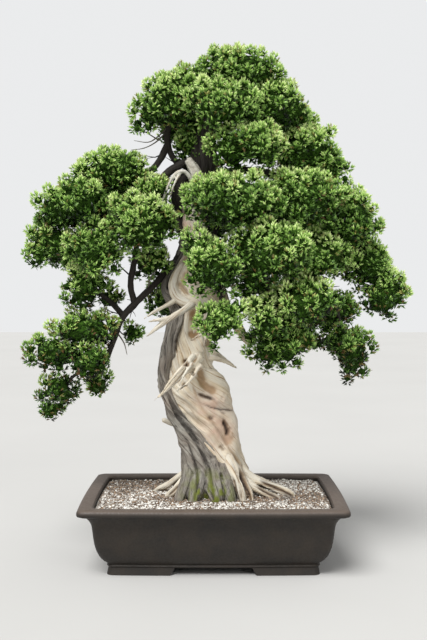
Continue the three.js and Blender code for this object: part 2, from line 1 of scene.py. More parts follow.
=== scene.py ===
# A procumbens nana juniper grown as a bonsai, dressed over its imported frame.
# Metres, +Z up, the front of the tree faces -Y.
# Pot, wood and the places on them are laid out in millimetres from the middle of the pot.
import math

import bpy
import numpy as np
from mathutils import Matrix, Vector
from mathutils.bvhtree import BVHTree


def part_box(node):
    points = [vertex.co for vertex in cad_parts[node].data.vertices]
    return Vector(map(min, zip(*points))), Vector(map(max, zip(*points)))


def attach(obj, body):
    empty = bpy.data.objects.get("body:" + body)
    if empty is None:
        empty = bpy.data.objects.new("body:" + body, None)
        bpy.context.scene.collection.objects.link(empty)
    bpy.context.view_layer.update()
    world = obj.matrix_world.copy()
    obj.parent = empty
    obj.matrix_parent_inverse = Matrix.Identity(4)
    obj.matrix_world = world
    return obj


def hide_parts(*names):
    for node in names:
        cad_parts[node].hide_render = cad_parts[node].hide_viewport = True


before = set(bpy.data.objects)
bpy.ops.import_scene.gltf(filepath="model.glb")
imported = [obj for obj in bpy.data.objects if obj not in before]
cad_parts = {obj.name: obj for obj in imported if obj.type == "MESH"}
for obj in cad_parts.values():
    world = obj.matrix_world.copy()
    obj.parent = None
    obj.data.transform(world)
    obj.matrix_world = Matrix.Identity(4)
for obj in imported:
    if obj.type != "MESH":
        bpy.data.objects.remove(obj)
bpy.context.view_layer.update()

draw = np.random.default_rng(4127)
fullTurn = 6.28
cameraLook = {"back": 1.944, "height": 0.547, "pitch": 2.45, "lens": 56.36, "sensor": 36}
potLow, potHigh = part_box("pot")
potMiddle = np.array([(potLow.x + potHigh.x) / 2, (potLow.y + potHigh.y) / 2, 0.0])


def place(points):  # millimetres from the pot's middle to metres in the row frame
    return np.asarray(points, float) / 1000 + potMiddle


def paint(red, green, blue):  # a colour as seen on a screen, to the linear values of a shader
    parts = [c / 255 for c in (red, green, blue)]
    return tuple(c / 12.92 if c <= 0.04045 else ((c + 0.055) / 1.055) ** 2.4 for c in parts) + (1.0,)


def unit(rows):
    return rows / np.maximum(np.linalg.norm(rows, axis=-1, keepdims=True), 1e-12)


def noise(points, seed=0):  # smooth value noise from -1 to 1
    points = np.asarray(points, float)
    base = np.floor(points).astype(np.int64)
    part = points - base
    soft = part * part * (3 - 2 * part)
    total = np.zeros(len(points))
    for dx in (0, 1):
        for dy in (0, 1):
            for dz in (0, 1):
                x, y, z = (base + (dx, dy, dz)).T
                mixed = (x * 73856093 ^ y * 19349663 ^ z * 83492791 ^ (seed + 1) * 2654435761) & 0xFFFFFFFF
                mixed = ((mixed ^ (mixed >> 13)) * 1274126177) & 0xFFFFFFFF
                value = ((mixed ^ (mixed >> 16)) & 0xFFFF) / 32767.5 - 1
                share = np.where(dx, soft[:, 0], 1 - soft[:, 0])
                share = share * np.where(dy, soft[:, 1], 1 - soft[:, 1])
                share = share * np.where(dz, soft[:, 2], 1 - soft[:, 2])
                total += value * share
    return total


# Meshes

def meshFrom(name, points, faces):
    points, faces = np.asarray(points, np.float32), np.asarray(faces, np.int32)
    mesh = bpy.data.meshes.new(name)
    mesh.vertices.add(len(points))
    mesh.vertices.foreach_set("co", points.ravel())
    mesh.loops.add(faces.size)
    mesh.loops.foreach_set("vertex_index", faces.ravel())
    mesh.polygons.add(len(faces))
    mesh.polygons.foreach_set("loop_start", np.arange(0, faces.size, faces.shape[1], dtype=np.int32))
    mesh.update(calc_edges=True)
    return mesh


def objectFrom(name, mesh):
    made = bpy.data.objects.new(name, mesh)
    bpy.context.scene.collection.objects.link(made)
    return made


def mark(mesh, name, values):
    mesh.attributes.new(name, "FLOAT", "POINT").data.foreach_set("value", np.asarray(values, np.float32))


def finishPiece(piece, materials, replaced=(), smooth=True):
    for material in materials:
        piece.data.materials.append(material)
    piece.data.polygons.foreach_set("use_smooth", np.full(len(piece.data.polygons), smooth))
    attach(piece, "root")
    if replaced:
        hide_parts(*replaced)


def pointsOf(mesh):
    found = np.zeros(len(mesh.vertices) * 3, np.float32)
    mesh.vertices.foreach_get("co", found)
    return found.reshape(-1, 3).astype(float)


def normalsOf(mesh):
    found = np.zeros(len(mesh.vertices) * 3, np.float32)
    mesh.vertex_normals.foreach_get("vector", found)
    return found.reshape(-1, 3).astype(float)


def surfaceOf(mesh):  # its points in millimetres from the pot's middle, and their normals
    return (pointsOf(mesh) - potMiddle) * 1000, normalsOf(mesh)


def joined(parts):  # several point and triangle lists as one
    points, faces, shift = [], [], 0
    for some, around in parts:
        points.append(some)
        faces.append(np.asarray(around) + shift)
        shift += len(some)
    return np.concatenate(points), np.concatenate(faces)


def applied(piece):  # the piece's mesh with its modifiers made real
    graph = bpy.context.evaluated_depsgraph_get()
    mesh = bpy.data.meshes.new_from_object(piece.evaluated_get(graph))
    old = piece.data
    piece.modifiers.clear()
    piece.data = mesh
    bpy.data.meshes.remove(old)
    return piece


def welded(name, parts, voxel):  # closed shells that cross, as one skin
    piece = objectFrom(name, meshFrom(name, *joined(parts)))
    remesh = piece.modifiers.new("weld", "REMESH")
    remesh.mode = "VOXEL"
    remesh.voxel_size = voxel
    return applied(piece)


def spline(rows, steps):  # evenly spaced rows on a smooth curve through the given ones
    rows = np.asarray(rows, float)
    knots = np.concatenate([[0], np.cumsum(np.linalg.norm(np.diff(rows[:, :3], axis=0), axis=1) ** 0.5)])
    slope = np.gradient(rows, knots, axis=0)
    fine = np.linspace(0, knots[-1], steps * 6 + 1)
    k = np.clip(np.searchsorted(knots, fine, "right") - 1, 0, len(knots) - 2)
    wide = (knots[k + 1] - knots[k])[:, None]
    t = (fine - knots[k])[:, None] / wide
    line = ((2 * t**3 - 3 * t**2 + 1) * rows[k] + (t**3 - 2 * t**2 + t) * wide * slope[k]
            + (3 * t**2 - 2 * t**3) * rows[k + 1] + (t**3 - t**2) * wide * slope[k + 1])
    along = np.concatenate([[0], np.cumsum(np.linalg.norm(np.diff(line[:, :3], axis=0), axis=1))])
    even = np.linspace(0, along[-1], steps + 1)
    return np.stack([np.interp(even, along, line[:, c]) for c in range(rows.shape[1])], axis=1)


def ringFaces(count, last):  # closed skin over rings 0 to last of count points, then its two end points
    k = np.arange(count)
    following = (k + 1) % count
    faces = []
    for j in range(last):
        a, b = j * count + k, j * count + following
        faces += [np.column_stack([a, b, b + count]), np.column_stack([a, b + count, a + count])]
    low, high = (last + 1) * count, (last + 1) * count + 1
    faces.append(np.column_stack([np.full(count, low), following, k]))
    faces.append(np.column_stack([np.full(count, high), last * count + k, last * count + following]))
    return np.concatenate(faces)


class Limb:  # a bent round bar: rows of x, y, z, half width and half depth, from its foot
    def __init__(self, rows, sides=12, step=4.0, relief=None):
        rows = np.asarray(rows, float)
        if rows.shape[1] == 4:
            rows = np.column_stack([rows, rows[:, 3]])
        length = np.linalg.norm(np.diff(rows[:, :3], axis=0), axis=1).sum()
        steps = max(4, int(length / step))
        self.line = spline(rows, steps)
        self.line[:, 3:] = np.maximum(self.line[:, 3:], 0.4)
        self.tangent = unit(np.gradient(self.line[:, :3], axis=0))
        chord = np.abs(self.line[-1, :3] - self.line[0, :3])
        side = np.array([0.0, 1.0, 0.0])
        if chord[1] >= 0.8 * np.linalg.norm(chord):  # a limb that runs front to back
            side = np.array([0.0, 0.0, 1.0])
        self.back = unit(side - self.tangent * (self.tangent @ side)[:, None])
        self.across = np.cross(self.back, self.tangent)
        self.run = np.linspace(0, length, steps + 1)
        self.sides, self.relief = sides, relief

    def shell(self):
        turn = np.linspace(0, 2 * np.pi, self.sides, endpoint=False)
        share = np.linspace(0, 1, len(self.line))[:, None]
        swell = self.relief(turn[None, :], share) if self.relief else np.ones((len(self.line), self.sides))
        wide = (self.line[:, 3:4] * swell * np.cos(turn))[..., None]
        deep = (self.line[:, 4:5] * swell * np.sin(turn))[..., None]
        rings = self.line[:, None, :3] + wide * self.across[:, None] + deep * self.back[:, None]
        ends = self.line[[0, -1], :3] + self.tangent[[0, -1]] * [[-0.5], [0.5]] * self.line[[0, -1], 3:4]
        return np.concatenate([rings.reshape(-1, 3), ends]), ringFaces(self.sides, len(self.line) - 1)


def nearestLimb(points, limbs, batch=20000):  # each point's limb, its place along it and its angle round it
    best = np.full(len(points), 1e9)
    which, along, angle = (np.zeros(len(points)) for _ in range(3))
    for n, limb in enumerate(limbs):
        for first in range(0, len(points), batch):
            some = points[first:first + batch]
            apart = some[:, None, :] - limb.line[None, :, :3]
            reach = np.linalg.norm(apart, axis=2) / (0.5 * (limb.line[:, 3] + limb.line[:, 4]))
            k = reach.argmin(axis=1)
            rows = np.arange(len(some))
            near = reach[rows, k]
            closer = near < best[first:first + batch]
            at = np.nonzero(closer)[0] + first
            off = apart[rows, k][closer]
            k = k[closer]
            best[at] = near[closer]
            which[at] = n
            along[at] = limb.run[k] + (off * limb.tangent[k]).sum(axis=1)
            angle[at] = np.arctan2((off * limb.back[k]).sum(axis=1), (off * limb.across[k]).sum(axis=1))
    return which.astype(int), along, angle


# Shader nodes

def put(tree, kind, inputs=None, **settings):
    made = tree.nodes.new(kind)
    for name, value in settings.items():
        setattr(made, name, value)
    for name, value in (inputs or {}).items():
        if isinstance(value, bpy.types.NodeSocket):
            tree.links.new(value, made.inputs[name])
        else:
            made.inputs[name].default_value = value
    return made


def ramp(tree, factor, stops):
    made = put(tree, "ShaderNodeValToRGB", {"Fac": factor})
    bar = made.color_ramp
    while len(bar.elements) < len(stops):
        bar.elements.new(0.5)
    for element, (at, colour) in zip(bar.elements, stops):
        element.position = at
        element.color = colour if isinstance(colour, tuple) else (colour, colour, colour, 1)
    return made.outputs["Color"]


def maths(tree, operation, a, b=0.0, clamp=False):
    return put(tree, "ShaderNodeMath", {0: a, 1: b}, operation=operation, use_clamp=clamp).outputs[0]


def blend(tree, factor, a, b):
    made = put(tree, "ShaderNodeMix", data_type="RGBA")
    for name, value in (("Factor_Float", factor), ("A_Color", a), ("B_Color", b)):
        socket = next(s for s in made.inputs if s.identifier == name)
        if isinstance(value, bpy.types.NodeSocket):
            tree.links.new(value, socket)
        else:
            socket.default_value = value
    return next(s for s in made.outputs if s.identifier == "Result_Color")


def marked(tree, name):
    return put(tree, "ShaderNodeAttribute", attribute_name=name).outputs["Fac"]


def newGroup(name, takes, gives):
    group = bpy.data.node_groups.new(name, "ShaderNodeTree")
    for label, value in takes:
        group.interface.new_socket(label, in_out="INPUT", socket_type="NodeSocketFloat").default_value = value
    for label in gives:
        group.interface.new_socket(label, in_out="OUTPUT", socket_type="NodeSocketFloat")
    enter, leave = group.nodes.new("NodeGroupInput"), group.nodes.new("NodeGroupOutput")
    return group, enter.outputs, leave.inputs


def placed(tree, group, **values):
    return put(tree, "ShaderNodeGroup", values, node_tree=group).outputs


def newMaterial(name):
    material = bpy.data.materials.new(name)
    material.use_nodes = True
    tree = material.node_tree
    shader = tree.nodes["Principled BSDF"]
    return material, tree, shader


def addBump(tree, shader, height, strength, distance):
    bump = put(tree, "ShaderNodeBump", {"Height": height, "Strength": strength, "Distance": distance})
    tree.links.new(bump.outputs["Normal"], shader.inputs["Normal"])


def makeGrain():  # fine lines that follow the wood, from the along and round marks of its mesh
    takes = [("Along", 0), ("Round", 0), ("Fineness", 400), ("Stretch", 14), ("Waver", 1.2)]
    group, given, asked = newGroup("woodGrain", takes, ["Lines", "Bands"])
    across = maths(group, "MULTIPLY", given["Round"], given["Fineness"])
    forward = maths(group, "MULTIPLY", given["Along"], given["Fineness"])
    forward = maths(group, "DIVIDE", forward, given["Stretch"])
    flow = put(group, "ShaderNodeCombineXYZ", {"X": forward, "Y": across})
    look = {"Scale": 1.0, "Detail": 3.0, "Roughness": 0.65, "Distortion": given["Waver"]}
    fine = put(group, "ShaderNodeTexNoise", {"Vector": flow.outputs[0], **look})
    coarse = put(group, "ShaderNodeTexNoise", {"Vector": flow.outputs[0], "Scale": 0.22, "Detail": 2.0})
    group.links.new(fine.outputs["Fac"], asked["Lines"])
    group.links.new(coarse.outputs["Fac"], asked["Bands"])
    return group


def makeMottle():  # soft uneven patches
    takes = [("Size", 60), ("Softness", 0.6), ("Level", 0.5)]
    group, given, asked = newGroup("mottle", takes, ["Patches", "Fine"])
    spot = put(group, "ShaderNodeTexCoord").outputs["Object"]
    broad = {"Vector": spot, "Scale": given["Size"], "Detail": 4.0, "Roughness": given["Softness"]}
    wide = put(group, "ShaderNodeTexNoise", broad)
    finer = maths(group, "MULTIPLY", given["Size"], 9.0)
    fine = put(group, "ShaderNodeTexNoise", {"Vector": spot, "Scale": finer, "Detail": 3.0})
    level = maths(group, "SUBTRACT", wide.outputs["Fac"], given["Level"])
    group.links.new(maths(group, "ADD", maths(group, "MULTIPLY", level, 3.0), 0.5, True), asked["Patches"])
    group.links.new(fine.outputs["Fac"], asked["Fine"])
    return group


def makeDustAndTopLight():  # pale dust that settles on faces that look up, and painted light on those faces
    group, given, asked = newGroup("dustAndTopLight", [("Amount", 0.5), ("Size", 90)], ["Mask"])
    normal = put(group, "ShaderNodeNewGeometry").outputs["Normal"]
    facing = put(group, "ShaderNodeSeparateXYZ", {"Vector": normal})
    spot = put(group, "ShaderNodeTexCoord").outputs["Object"]
    patch = put(group, "ShaderNodeTexNoise", {"Vector": spot, "Scale": given["Size"], "Detail": 4.0})
    lying = maths(group, "SUBTRACT", facing.outputs["Z"], 0.35, True)
    lying = maths(group, "MULTIPLY", lying, given["Amount"])
    uneven = maths(group, "MULTIPLY", patch.outputs["Fac"], 2.0)
    group.links.new(maths(group, "MULTIPLY", lying, uneven, True), asked["Mask"])
    return group


def makePebbles():  # packed grains: a tint and a height for each
    group, given, asked = newGroup("packedGrains", [("Size", 300)], ["Tint", "Height"])
    spot = put(group, "ShaderNodeTexCoord").outputs["Object"]
    cells = put(group, "ShaderNodeTexVoronoi", {"Vector": spot, "Scale": given["Size"]})
    tint = put(group, "ShaderNodeSeparateColor", {"Color": cells.outputs["Color"]})
    group.links.new(tint.outputs[0], asked["Tint"])
    group.links.new(maths(group, "SUBTRACT", 1.0, cells.outputs["Distance"], True), asked["Height"])
    return group


woodGrain, mottle, dustAndTopLight, packedGrains = makeGrain(), makeMottle(), makeDustAndTopLight(), makePebbles()
print("shader groups ready")


# Pot

potLook = {  # the wall, rim and inside are rows of inset from the rim and height
    "length": 500, "depth": 360, "bow": 4, "corner": 12, "cornerSteps": 7, "sideSteps": (22, 16),
    "wall": [(60, 14), (52, 14), (50, 17), (52, 20), (43, 28), (35.5, 40), (30.5, 54), (27.5, 70),
             (25.5, 88), (23.5, 99), (19.5, 107), (14.6, 112.6)],
    "rimFace": [(14, 114.4), (5, 116), (1, 118), (0, 121), (0.4, 125), (2.6, 128.4), (7, 130), (22, 130),
                (26, 129), (28, 126)],
    "inside": [(28, 122), (29, 106), (35, 70), (46, 40), (62, 28)],
    "wallSteps": 24, "sharpAngle": 38,
    "feet": [(50, 0), (50.5, 3), (53, 16)], "hollow": [(72, -1), (70, 17)],
    "frontGap": ((160, 360, 15), 9), "sideGap": ((104, 500, 15), 8), "gapMiddle": (0, 0, 6.5),
    "drainX": 95, "drainRadius": 14, "drainSides": 32, "drainHeights": (6, 40),
    # painted light and shade: the clay is set darker partly for the shade on the wall, and the rim band is
    # paler as painted light on the rim
    "clay": paint(39, 31, 22), "clayDark": paint(26, 21, 15), "dustAndLight": paint(112, 101, 91),
    "rim": paint(80, 68, 59), "rimFrom": 0.1235, "rimFade": 0.004,
    "patches": {"Size": 28.0, "Softness": 0.6, "Level": 0.5}, "topLightAndDust": {"Amount": 0.45, "Size": 60.0},
    "roughness": [(0.3, 0.5), (0.7, 0.68)], "bump": (0.25, 0.0006),
}


def planLoop(inset, height):  # one loop of the pot's plan, as in a rounded box with bowed sides
    look = potLook
    corner = look["corner"]
    halfX, halfY = look["length"] / 2 - look["bow"] - inset, look["depth"] / 2 - look["bow"] - inset
    turn = np.linspace(0, np.pi / 2, look["cornerSteps"])
    arc = np.column_stack([halfX - corner + corner * np.cos(turn), halfY - corner + corner * np.sin(turn)])
    corners = [arc, (arc * [-1, 1])[::-1], arc * [-1, -1], (arc * [1, -1])[::-1]]
    loop = []
    for k, points in enumerate(corners):
        loop.append(points)
        share = np.linspace(0, 1, look["sideSteps"][k % 2])[1:-1, None]
        loop.append(points[-1] + (corners[(k + 1) % 4][0] - points[-1]) * share)
    x, y = np.concatenate(loop).T
    bowX = look["bow"] * (1 - (y / halfY) ** 2) * np.sign(x) * (np.abs(x) / halfX) ** 8
    bowY = look["bow"] * (1 - (x / halfX) ** 2) * np.sign(y) * (np.abs(y) / halfY) ** 8
    return np.column_stack([x + bowX, y + bowY, np.full(len(x), height)])


def lofted(rings):  # closed skin over rings of equal length
    ends = np.array([rings[0].mean(axis=0), rings[-1].mean(axis=0)])
    return np.concatenate(rings + [ends]), ringFaces(len(rings[0]), len(rings) - 1)


def turnedRound(profile):  # the skin that rows of inset and height make when led round the pot's plan
    return lofted([planLoop(inset, height) for inset, height in profile])


def bodyFrom(name, points, faces):
    return objectFrom(name, meshFrom(name, place(points), faces))


def combine(piece, tool, operation):
    change = piece.modifiers.new("combine", "BOOLEAN")
    change.object, change.operation, change.solver = tool, operation, "EXACT"
    applied(piece)
    bpy.data.objects.remove(tool)


def cut(piece, points, faces):
    combine(piece, bodyFrom("tool", points, faces), "DIFFERENCE")


def leaningBox(size, lean):  # a box whose two ends lean in towards the top
    x, y, z = (s / 2 for s in size)
    low = [(-x, -y, -z), (x, -y, -z), (x, y, -z), (-x, y, -z)]
    high = [(-x + lean, -y, z), (x - lean, -y, z), (x - lean, y, z), (-x + lean, y, z)]
    faces = [(0, 2, 1), (0, 3, 2), (4, 5, 6), (4, 6, 7), (0, 1, 5), (0, 5, 4), (1, 2, 6), (1, 6, 5)]
    faces += [(2, 3, 7), (2, 7, 6), (3, 0, 4), (3, 4, 7)]
    return np.array(low + high) + potLook["gapMiddle"], np.array(faces)


def makePot():
    look = potLook
    wall = spline([(inset, 0, height) for inset, height in look["wall"][3:]], look["wallSteps"])
    profile = look["wall"][:3] + [(row[0], row[2]) for row in wall] + look["rimFace"] + look["inside"]
    pot = bodyFrom("pot_clay", *turnedRound(profile))
    band = bodyFrom("band", *turnedRound(look["feet"]))
    cut(band, *turnedRound(look["hollow"]))
    cut(band, *leaningBox(*look["frontGap"]))
    sidePoints, sideFaces = leaningBox(*look["sideGap"])
    cut(band, sidePoints[:, [1, 0, 2]] * [1, -1, 1], sideFaces)
    combine(pot, band, "UNION")
    turn = np.linspace(0, 2 * np.pi, look["drainSides"], endpoint=False)
    for x in (-look["drainX"], look["drainX"]):
        circle = [x + look["drainRadius"] * np.cos(turn), look["drainRadius"] * np.sin(turn)]
        cut(pot, *lofted([np.column_stack([*circle, np.full(len(turn), z)]) for z in look["drainHeights"]]))
    height = pointsOf(pot.data)[:, 2]
    # the rim band, which is painted lighter: painted light on the rim
    mark(pot.data, "rim", np.clip((height - look["rimFrom"]) / look["rimFade"], 0, 1))
    return pot


def potMaterial():
    look = potLook
    material, tree, shader = newMaterial("unglazedClay")
    patches = placed(tree, mottle, **look["patches"])
    dustAndLight = placed(tree, dustAndTopLight, **look["topLightAndDust"])
    colour = blend(tree, patches["Patches"], look["clayDark"], look["clay"])
    # painted light on the rim band
    colour = blend(tree, marked(tree, "rim"), colour, look["rim"])
    # dust and painted light on faces that look up
    colour = blend(tree, dustAndLight["Mask"], colour, look["dustAndLight"])
    tree.links.new(colour, shader.inputs["Base Color"])
    tree.links.new(ramp(tree, patches["Fine"], look["roughness"]), shader.inputs["Roughness"])
    addBump(tree, shader, patches["Fine"], *look["bump"])
    return material


pot = makePot()
finishPiece(pot, [potMaterial()], ["pot"])
edges = pot.modifiers.new("edges", "EDGE_SPLIT")
edges.split_angle = math.radians(potLook["sharpAngle"])
print("pot", len(pot.data.polygons))


# Wood: rows of x, y, z, half width, half depth, from the soil up

livingTrunk = [
    (-16, -14, 92, 46, 32), (-16, -16, 122, 48, 38), (-20, -18, 165, 44, 35), (-28, -17, 198, 37, 34),
    (-39, -14, 229, 27, 33), (-56, -10, 258, 19, 31), (-76, -8, 287, 14, 28), (-88, -6, 316, 11.5, 25),
    (-94, -5, 338, 11.5, 23), (-96, -6, 361, 11, 21), (-87, -10, 402, 13.5, 20), (-80, -14, 434, 13.5, 19),
    (-72, -16, 454, 16, 18), (-66, -14, 470, 15, 17), (-77, -6, 500, 12, 15), (-91, 8, 520, 9, 13),
    (-90, 18, 541, 9, 12), (-74, 28, 566, 11, 12), (-54, 32, 596, 14, 14), (-50, 32, 634, 16, 16),
    (-58, 28, 668, 16, 16), (-50, 22, 704, 17, 17), (-27, 14, 734, 23, 19), (-18, 6, 762, 25, 20),
    (-18, 0, 795, 21, 18), (-12, -2, 828, 17, 15), (5, -2, 867, 13, 12), (24, 0, 908, 9, 9),
    (36, 0, 945, 5, 5),
]
deadTrunk = [
    (10, 8, 92, 60, 50), (9, 8, 122, 62, 52), (8, 7, 165, 57, 46), (3, 6, 198, 50, 43),
    (-1, 6, 229, 48, 42), (-6, 6, 258, 50, 42), (-18, 6, 287, 54, 43), (-28, 6, 316, 57, 43),
    (-37, 5, 336, 53, 41), (-45, 5, 358, 46, 39), (-46, 4, 376, 44, 37), (-42, 3, 402, 40, 36),
    (-39, 0, 434, 35, 33), (-34, -4, 456, 33, 31), (-24, -6, 474, 39, 32), (-19, -6, 493, 50, 32),
    (-24, -6, 509, 49, 31), (-34, -5, 524, 45, 29), (-42, -4, 543, 36, 27), (-38, -4, 562, 30, 24),
    (-32, -4, 586, 25, 21), (-32, -4, 619, 22, 18), (-40, -6, 654, 18, 16), (-44, -10, 685, 15, 14),
    (-38, -16, 708, 12, 12), (-30, -20, 727, 11, 10), (-36, -22, 750, 10, 9), (-47, -22, 770, 7, 7),
]
jins = [  # bare dead branches: rows of x, y, z, radius
    [(-60, -20, 510, 6), (-92, -40, 492, 4), (-113, -46, 481, 3.2), (-132, -50, 468, 1.2)],
    [(-30, -20, 500, 9), (-55, -56, 486, 6), (-81, -66, 470, 5), (-106, -70, 452, 4),
     (-127, -72, 435, 1.4)],
    [(-76, -62, 474, 4), (-104, -74, 467, 3.2), (-129, -78, 463, 1.2)],
    [(-8, -20, 452, 8), (-14, -54, 444, 5), (-31, -68, 435, 3), (-50, -74, 423, 1)],
    [(-12, -46, 447, 5), (-14, -64, 432, 3.4), (-20, -68, 413, 1)],
    [(-30, -30, 392, 13), (-46, -56, 376, 6.5), (-76, -68, 347, 4.2), (-95, -73, 330, 3),
     (-110, -76, 317, 1.2)],
    [(-38, -44, 398, 6), (-54, -68, 382, 3.6), (-74, -78, 362, 3), (-90, -82, 340, 2.2),
     (-101, -80, 320, 1.1)],
    [(-24, -44, 378, 6), (-36, -66, 364, 3.4), (-52, -76, 346, 2.6), (-74, -82, 331, 1.1)],
    [(-40, -60, 384, 4), (-52, -78, 370, 2.6), (-62, -84, 350, 2), (-68, -84, 334, 1)],
    [(-20, 0, 404, 16), (4, -6, 395, 10), (24, -12, 385, 4.6), (46, -20, 371, 1.2)],
    [(-4, -12, 392, 8), (12, -22, 391, 3.4), (22, -26, 389, 1)],
    [(-55, 12, 258, 8), (-84, 6, 263, 6), (-99, 1, 269, 4.4)],
    [(-34, -14, 706, 5), (-43, -32, 732, 4), (-55, -37, 747, 3.8), (-70, -40, 744, 3.6), (-84, -42, 724, 3),
     (-92, -44, 702, 2.4), (-103, -48, 680, 1.2)],
    [(-62, -38, 745, 3), (-74, -48, 722, 2.4), (-80, -52, 702, 2), (-90, -54, 684, 1)],
    [(-56, -22, 574, 6), (-70, -20, 553, 8.5), (-77, -20, 530, 9.5), (-70, -24, 509, 10),
     (-50, -30, 498, 10), (-26, -32, 500, 7)],
    [(-4, 0, 498, 15), (22, 2, 483, 11.5), (42, 0, 458, 9), (60, -10, 431, 7.5), (73, -14, 416, 4)],
]
deadRoots = [  # and roots, bleached ones first
    [(-34, 10, 172, 12), (-62, 14, 156, 8), (-88, 22, 138, 6), (-110, 28, 126, 5), (-124, 32, 115, 3)],
    [(-36, -12, 168, 12), (-56, -24, 154, 9), (-72, -28, 138, 7.5), (-86, -24, 126, 6), (-96, -20, 115, 3)],
    [(34, -2, 180, 18), (64, -4, 158, 13), (92, -6, 146, 9), (122, -8, 136, 8), (146, -10, 127, 7),
     (160, -12, 115, 4)],
    [(40, 10, 172, 13), (76, 18, 152, 8), (110, 24, 139, 6), (140, 28, 127, 5), (154, 30, 115, 3)],
    [(44, -14, 166, 12), (74, -24, 144, 8), (100, -30, 131, 6.5), (124, -36, 122, 5), (136, -38, 114, 3)],
    [(26, -20, 198, 15), (40, -38, 168, 12), (50, -52, 142, 9.5), (57, -60, 116, 6)],
    [(44, -18, 178, 11), (59, -36, 152, 8), (69, -48, 133, 6.5), (74, -54, 116, 4)],
    [(10, 30, 172, 15), (38, 56, 150, 11), (64, 78, 132, 8), (84, 94, 115, 4)],
    [(-16, 30, 168, 14), (-38, 58, 146, 10), (-58, 80, 129, 7), (-74, 98, 115, 4)],
    [(6, 36, 168, 14), (4, 68, 144, 10), (8, 94, 127, 7), (8, 114, 114, 3.5)],
]
barkRoots = [
    [(-38, -26, 196, 17), (-50, -44, 158, 14), (-60, -54, 134, 11), (-66, -60, 119, 8)],
    [(-22, -34, 190, 16), (-30, -52, 152, 14), (-36, -64, 132, 12), (-40, -70, 119, 9)],
    [(-4, -32, 190, 17), (0, -54, 152, 14), (4, -66, 132, 12), (6, -72, 119, 9)],
    [(14, -28, 182, 15), (24, -50, 150, 13), (30, -62, 132, 11), (34, -68, 119, 8)],
]
boughs = {  # live branches: rows of x, y, z, radius
    "lowLeft": [(-74, 26, 570, 9), (-92, 18, 560, 7), (-110, 2, 537, 6), (-150, -10, 497, 7),
                (-176, -12, 468, 6.5), (-194, -12, 422, 5.5), (-211, -15, 383, 4.5), (-258, -10, 364, 3.5),
                (-292, 0, 337, 2.5)],
    "left": [(-152, -10, 494, 6.5), (-160, -12, 532, 6), (-155, -15, 564, 6), (-148, -20, 607, 5.5),
             (-165, -20, 641, 5), (-205, -16, 668, 4), (-248, -10, 664, 3)],
    "leftInner": [(-148, -20, 607, 5), (-130, -30, 655, 4), (-120, -30, 700, 3)],
    "leftSpur": [(-172, -12, 470, 6), (-206, 4, 504, 4.5), (-244, 0, 528, 3)],
    "crownLeft": [(-16, 6, 768, 12), (-46, 14, 764, 8), (-68, 16, 768, 6), (-84, 14, 788, 6),
                  (-90, 8, 818, 7), (-78, 0, 858, 4)],
    "crownLeftFork": [(-88, 12, 806, 7), (-100, 10, 780, 7), (-120, 6, 754, 6), (-148, 0, 738, 5),
                      (-176, -4, 726, 3)],
    "barkSpur": [(-22, 6, 756, 10), (-48, -2, 768, 8.5), (-72, -6, 758, 8), (-96, -8, 740, 7),
                 (-118, -18, 708, 4)],
    "rightHigh": [(-15, 8, 748, 11), (16, 2, 747, 9), (57, -8, 752, 7.5), (105, -20, 744, 7),
                  (165, -30, 713, 6), (235, -10, 686, 5), (284, 5, 629, 4), (318, 15, 566, 2.5)],
    "rightLow": [(-72, 28, 580, 10), (-30, 32, 590, 9), (10, -10, 580, 9), (44, -50, 568, 8),
                 (102, -72, 560, 7), (162, -68, 551, 6), (221, -40, 513, 4.5), (250, -20, 440, 2.5)],
    "rightUnder": [(96, -70, 560, 5.5), (104, -70, 500, 5), (118, -62, 452, 4.5), (158, -56, 430, 3.5),
                   (205, -40, 420, 2.5)],
    "front": [(-60, 28, 640, 9), (-24, 12, 648, 7), (2, -36, 652, 6.5), (14, -76, 655, 6),
              (34, -104, 666, 4)],
    "frontLow": [(10, -64, 654, 5), (-2, -96, 606, 4.5), (4, -118, 569, 4), (12, -132, 524, 3.5),
                 (16, -140, 472, 2.5)],
    "back": [(-66, 34, 640, 9), (-42, 76, 636, 7), (-20, 124, 642, 4)],
    "backLow": [(-48, 68, 636, 6), (-58, 100, 572, 5), (-74, 116, 500, 3)],
    "backRight": [(-60, 26, 684, 9), (3, 55, 668, 8), (84, 80, 656, 6.5), (165, 90, 648, 5),
                  (247, 95, 588, 3)],
    "backLeft": [(-66, 32, 664, 8), (-117, 56, 658, 7), (-190, 78, 658, 5), (-262, 76, 598, 3)],
    "crownRight": [(-14, 0, 810, 9), (42, -5, 838, 7), (94, -5, 858, 6), (149, 5, 852, 5),
                   (188, 16, 818, 3)],
    "crownFront": [(-14, 0, 797, 8), (22, -30, 790, 6), (66, -66, 780, 3)],
    "crownBack": [(-10, 0, 830, 8), (17, 45, 862, 6), (50, 90, 900, 3.5)],
    "archBehind": [(-58, 24, 664, 13), (-68, 18, 700, 15), (-66, 12, 728, 15), (-44, 8, 756, 11)],
}

paleTwigs = [  # thin dead twigs that stay grey
    [(-84, 6, 842, 2), (-102, 0, 822, 1.4), (-124, -8, 806, 1.1), (-152, -14, 808, 0.5)],
    [(-92, 6, 826, 1.8), (-112, -2, 806, 1.2), (-134, -10, 794, 1), (-158, -14, 790, 0.5)],
    [(-108, 0, 812, 1.2), (-126, -12, 822, 0.9), (-148, -16, 834, 0.5)],
    [(-96, -16, 700, 1.8), (-112, -26, 690, 1.3), (-128, -30, 668, 0.5)],
    [(-128, -2, 520, 1.8), (-120, -14, 548, 1.2), (-104, -18, 566, 0.5)],
    [(-186, -12, 440, 1.8), (-172, -20, 420, 1.2), (-166, -24, 398, 0.5)],
]


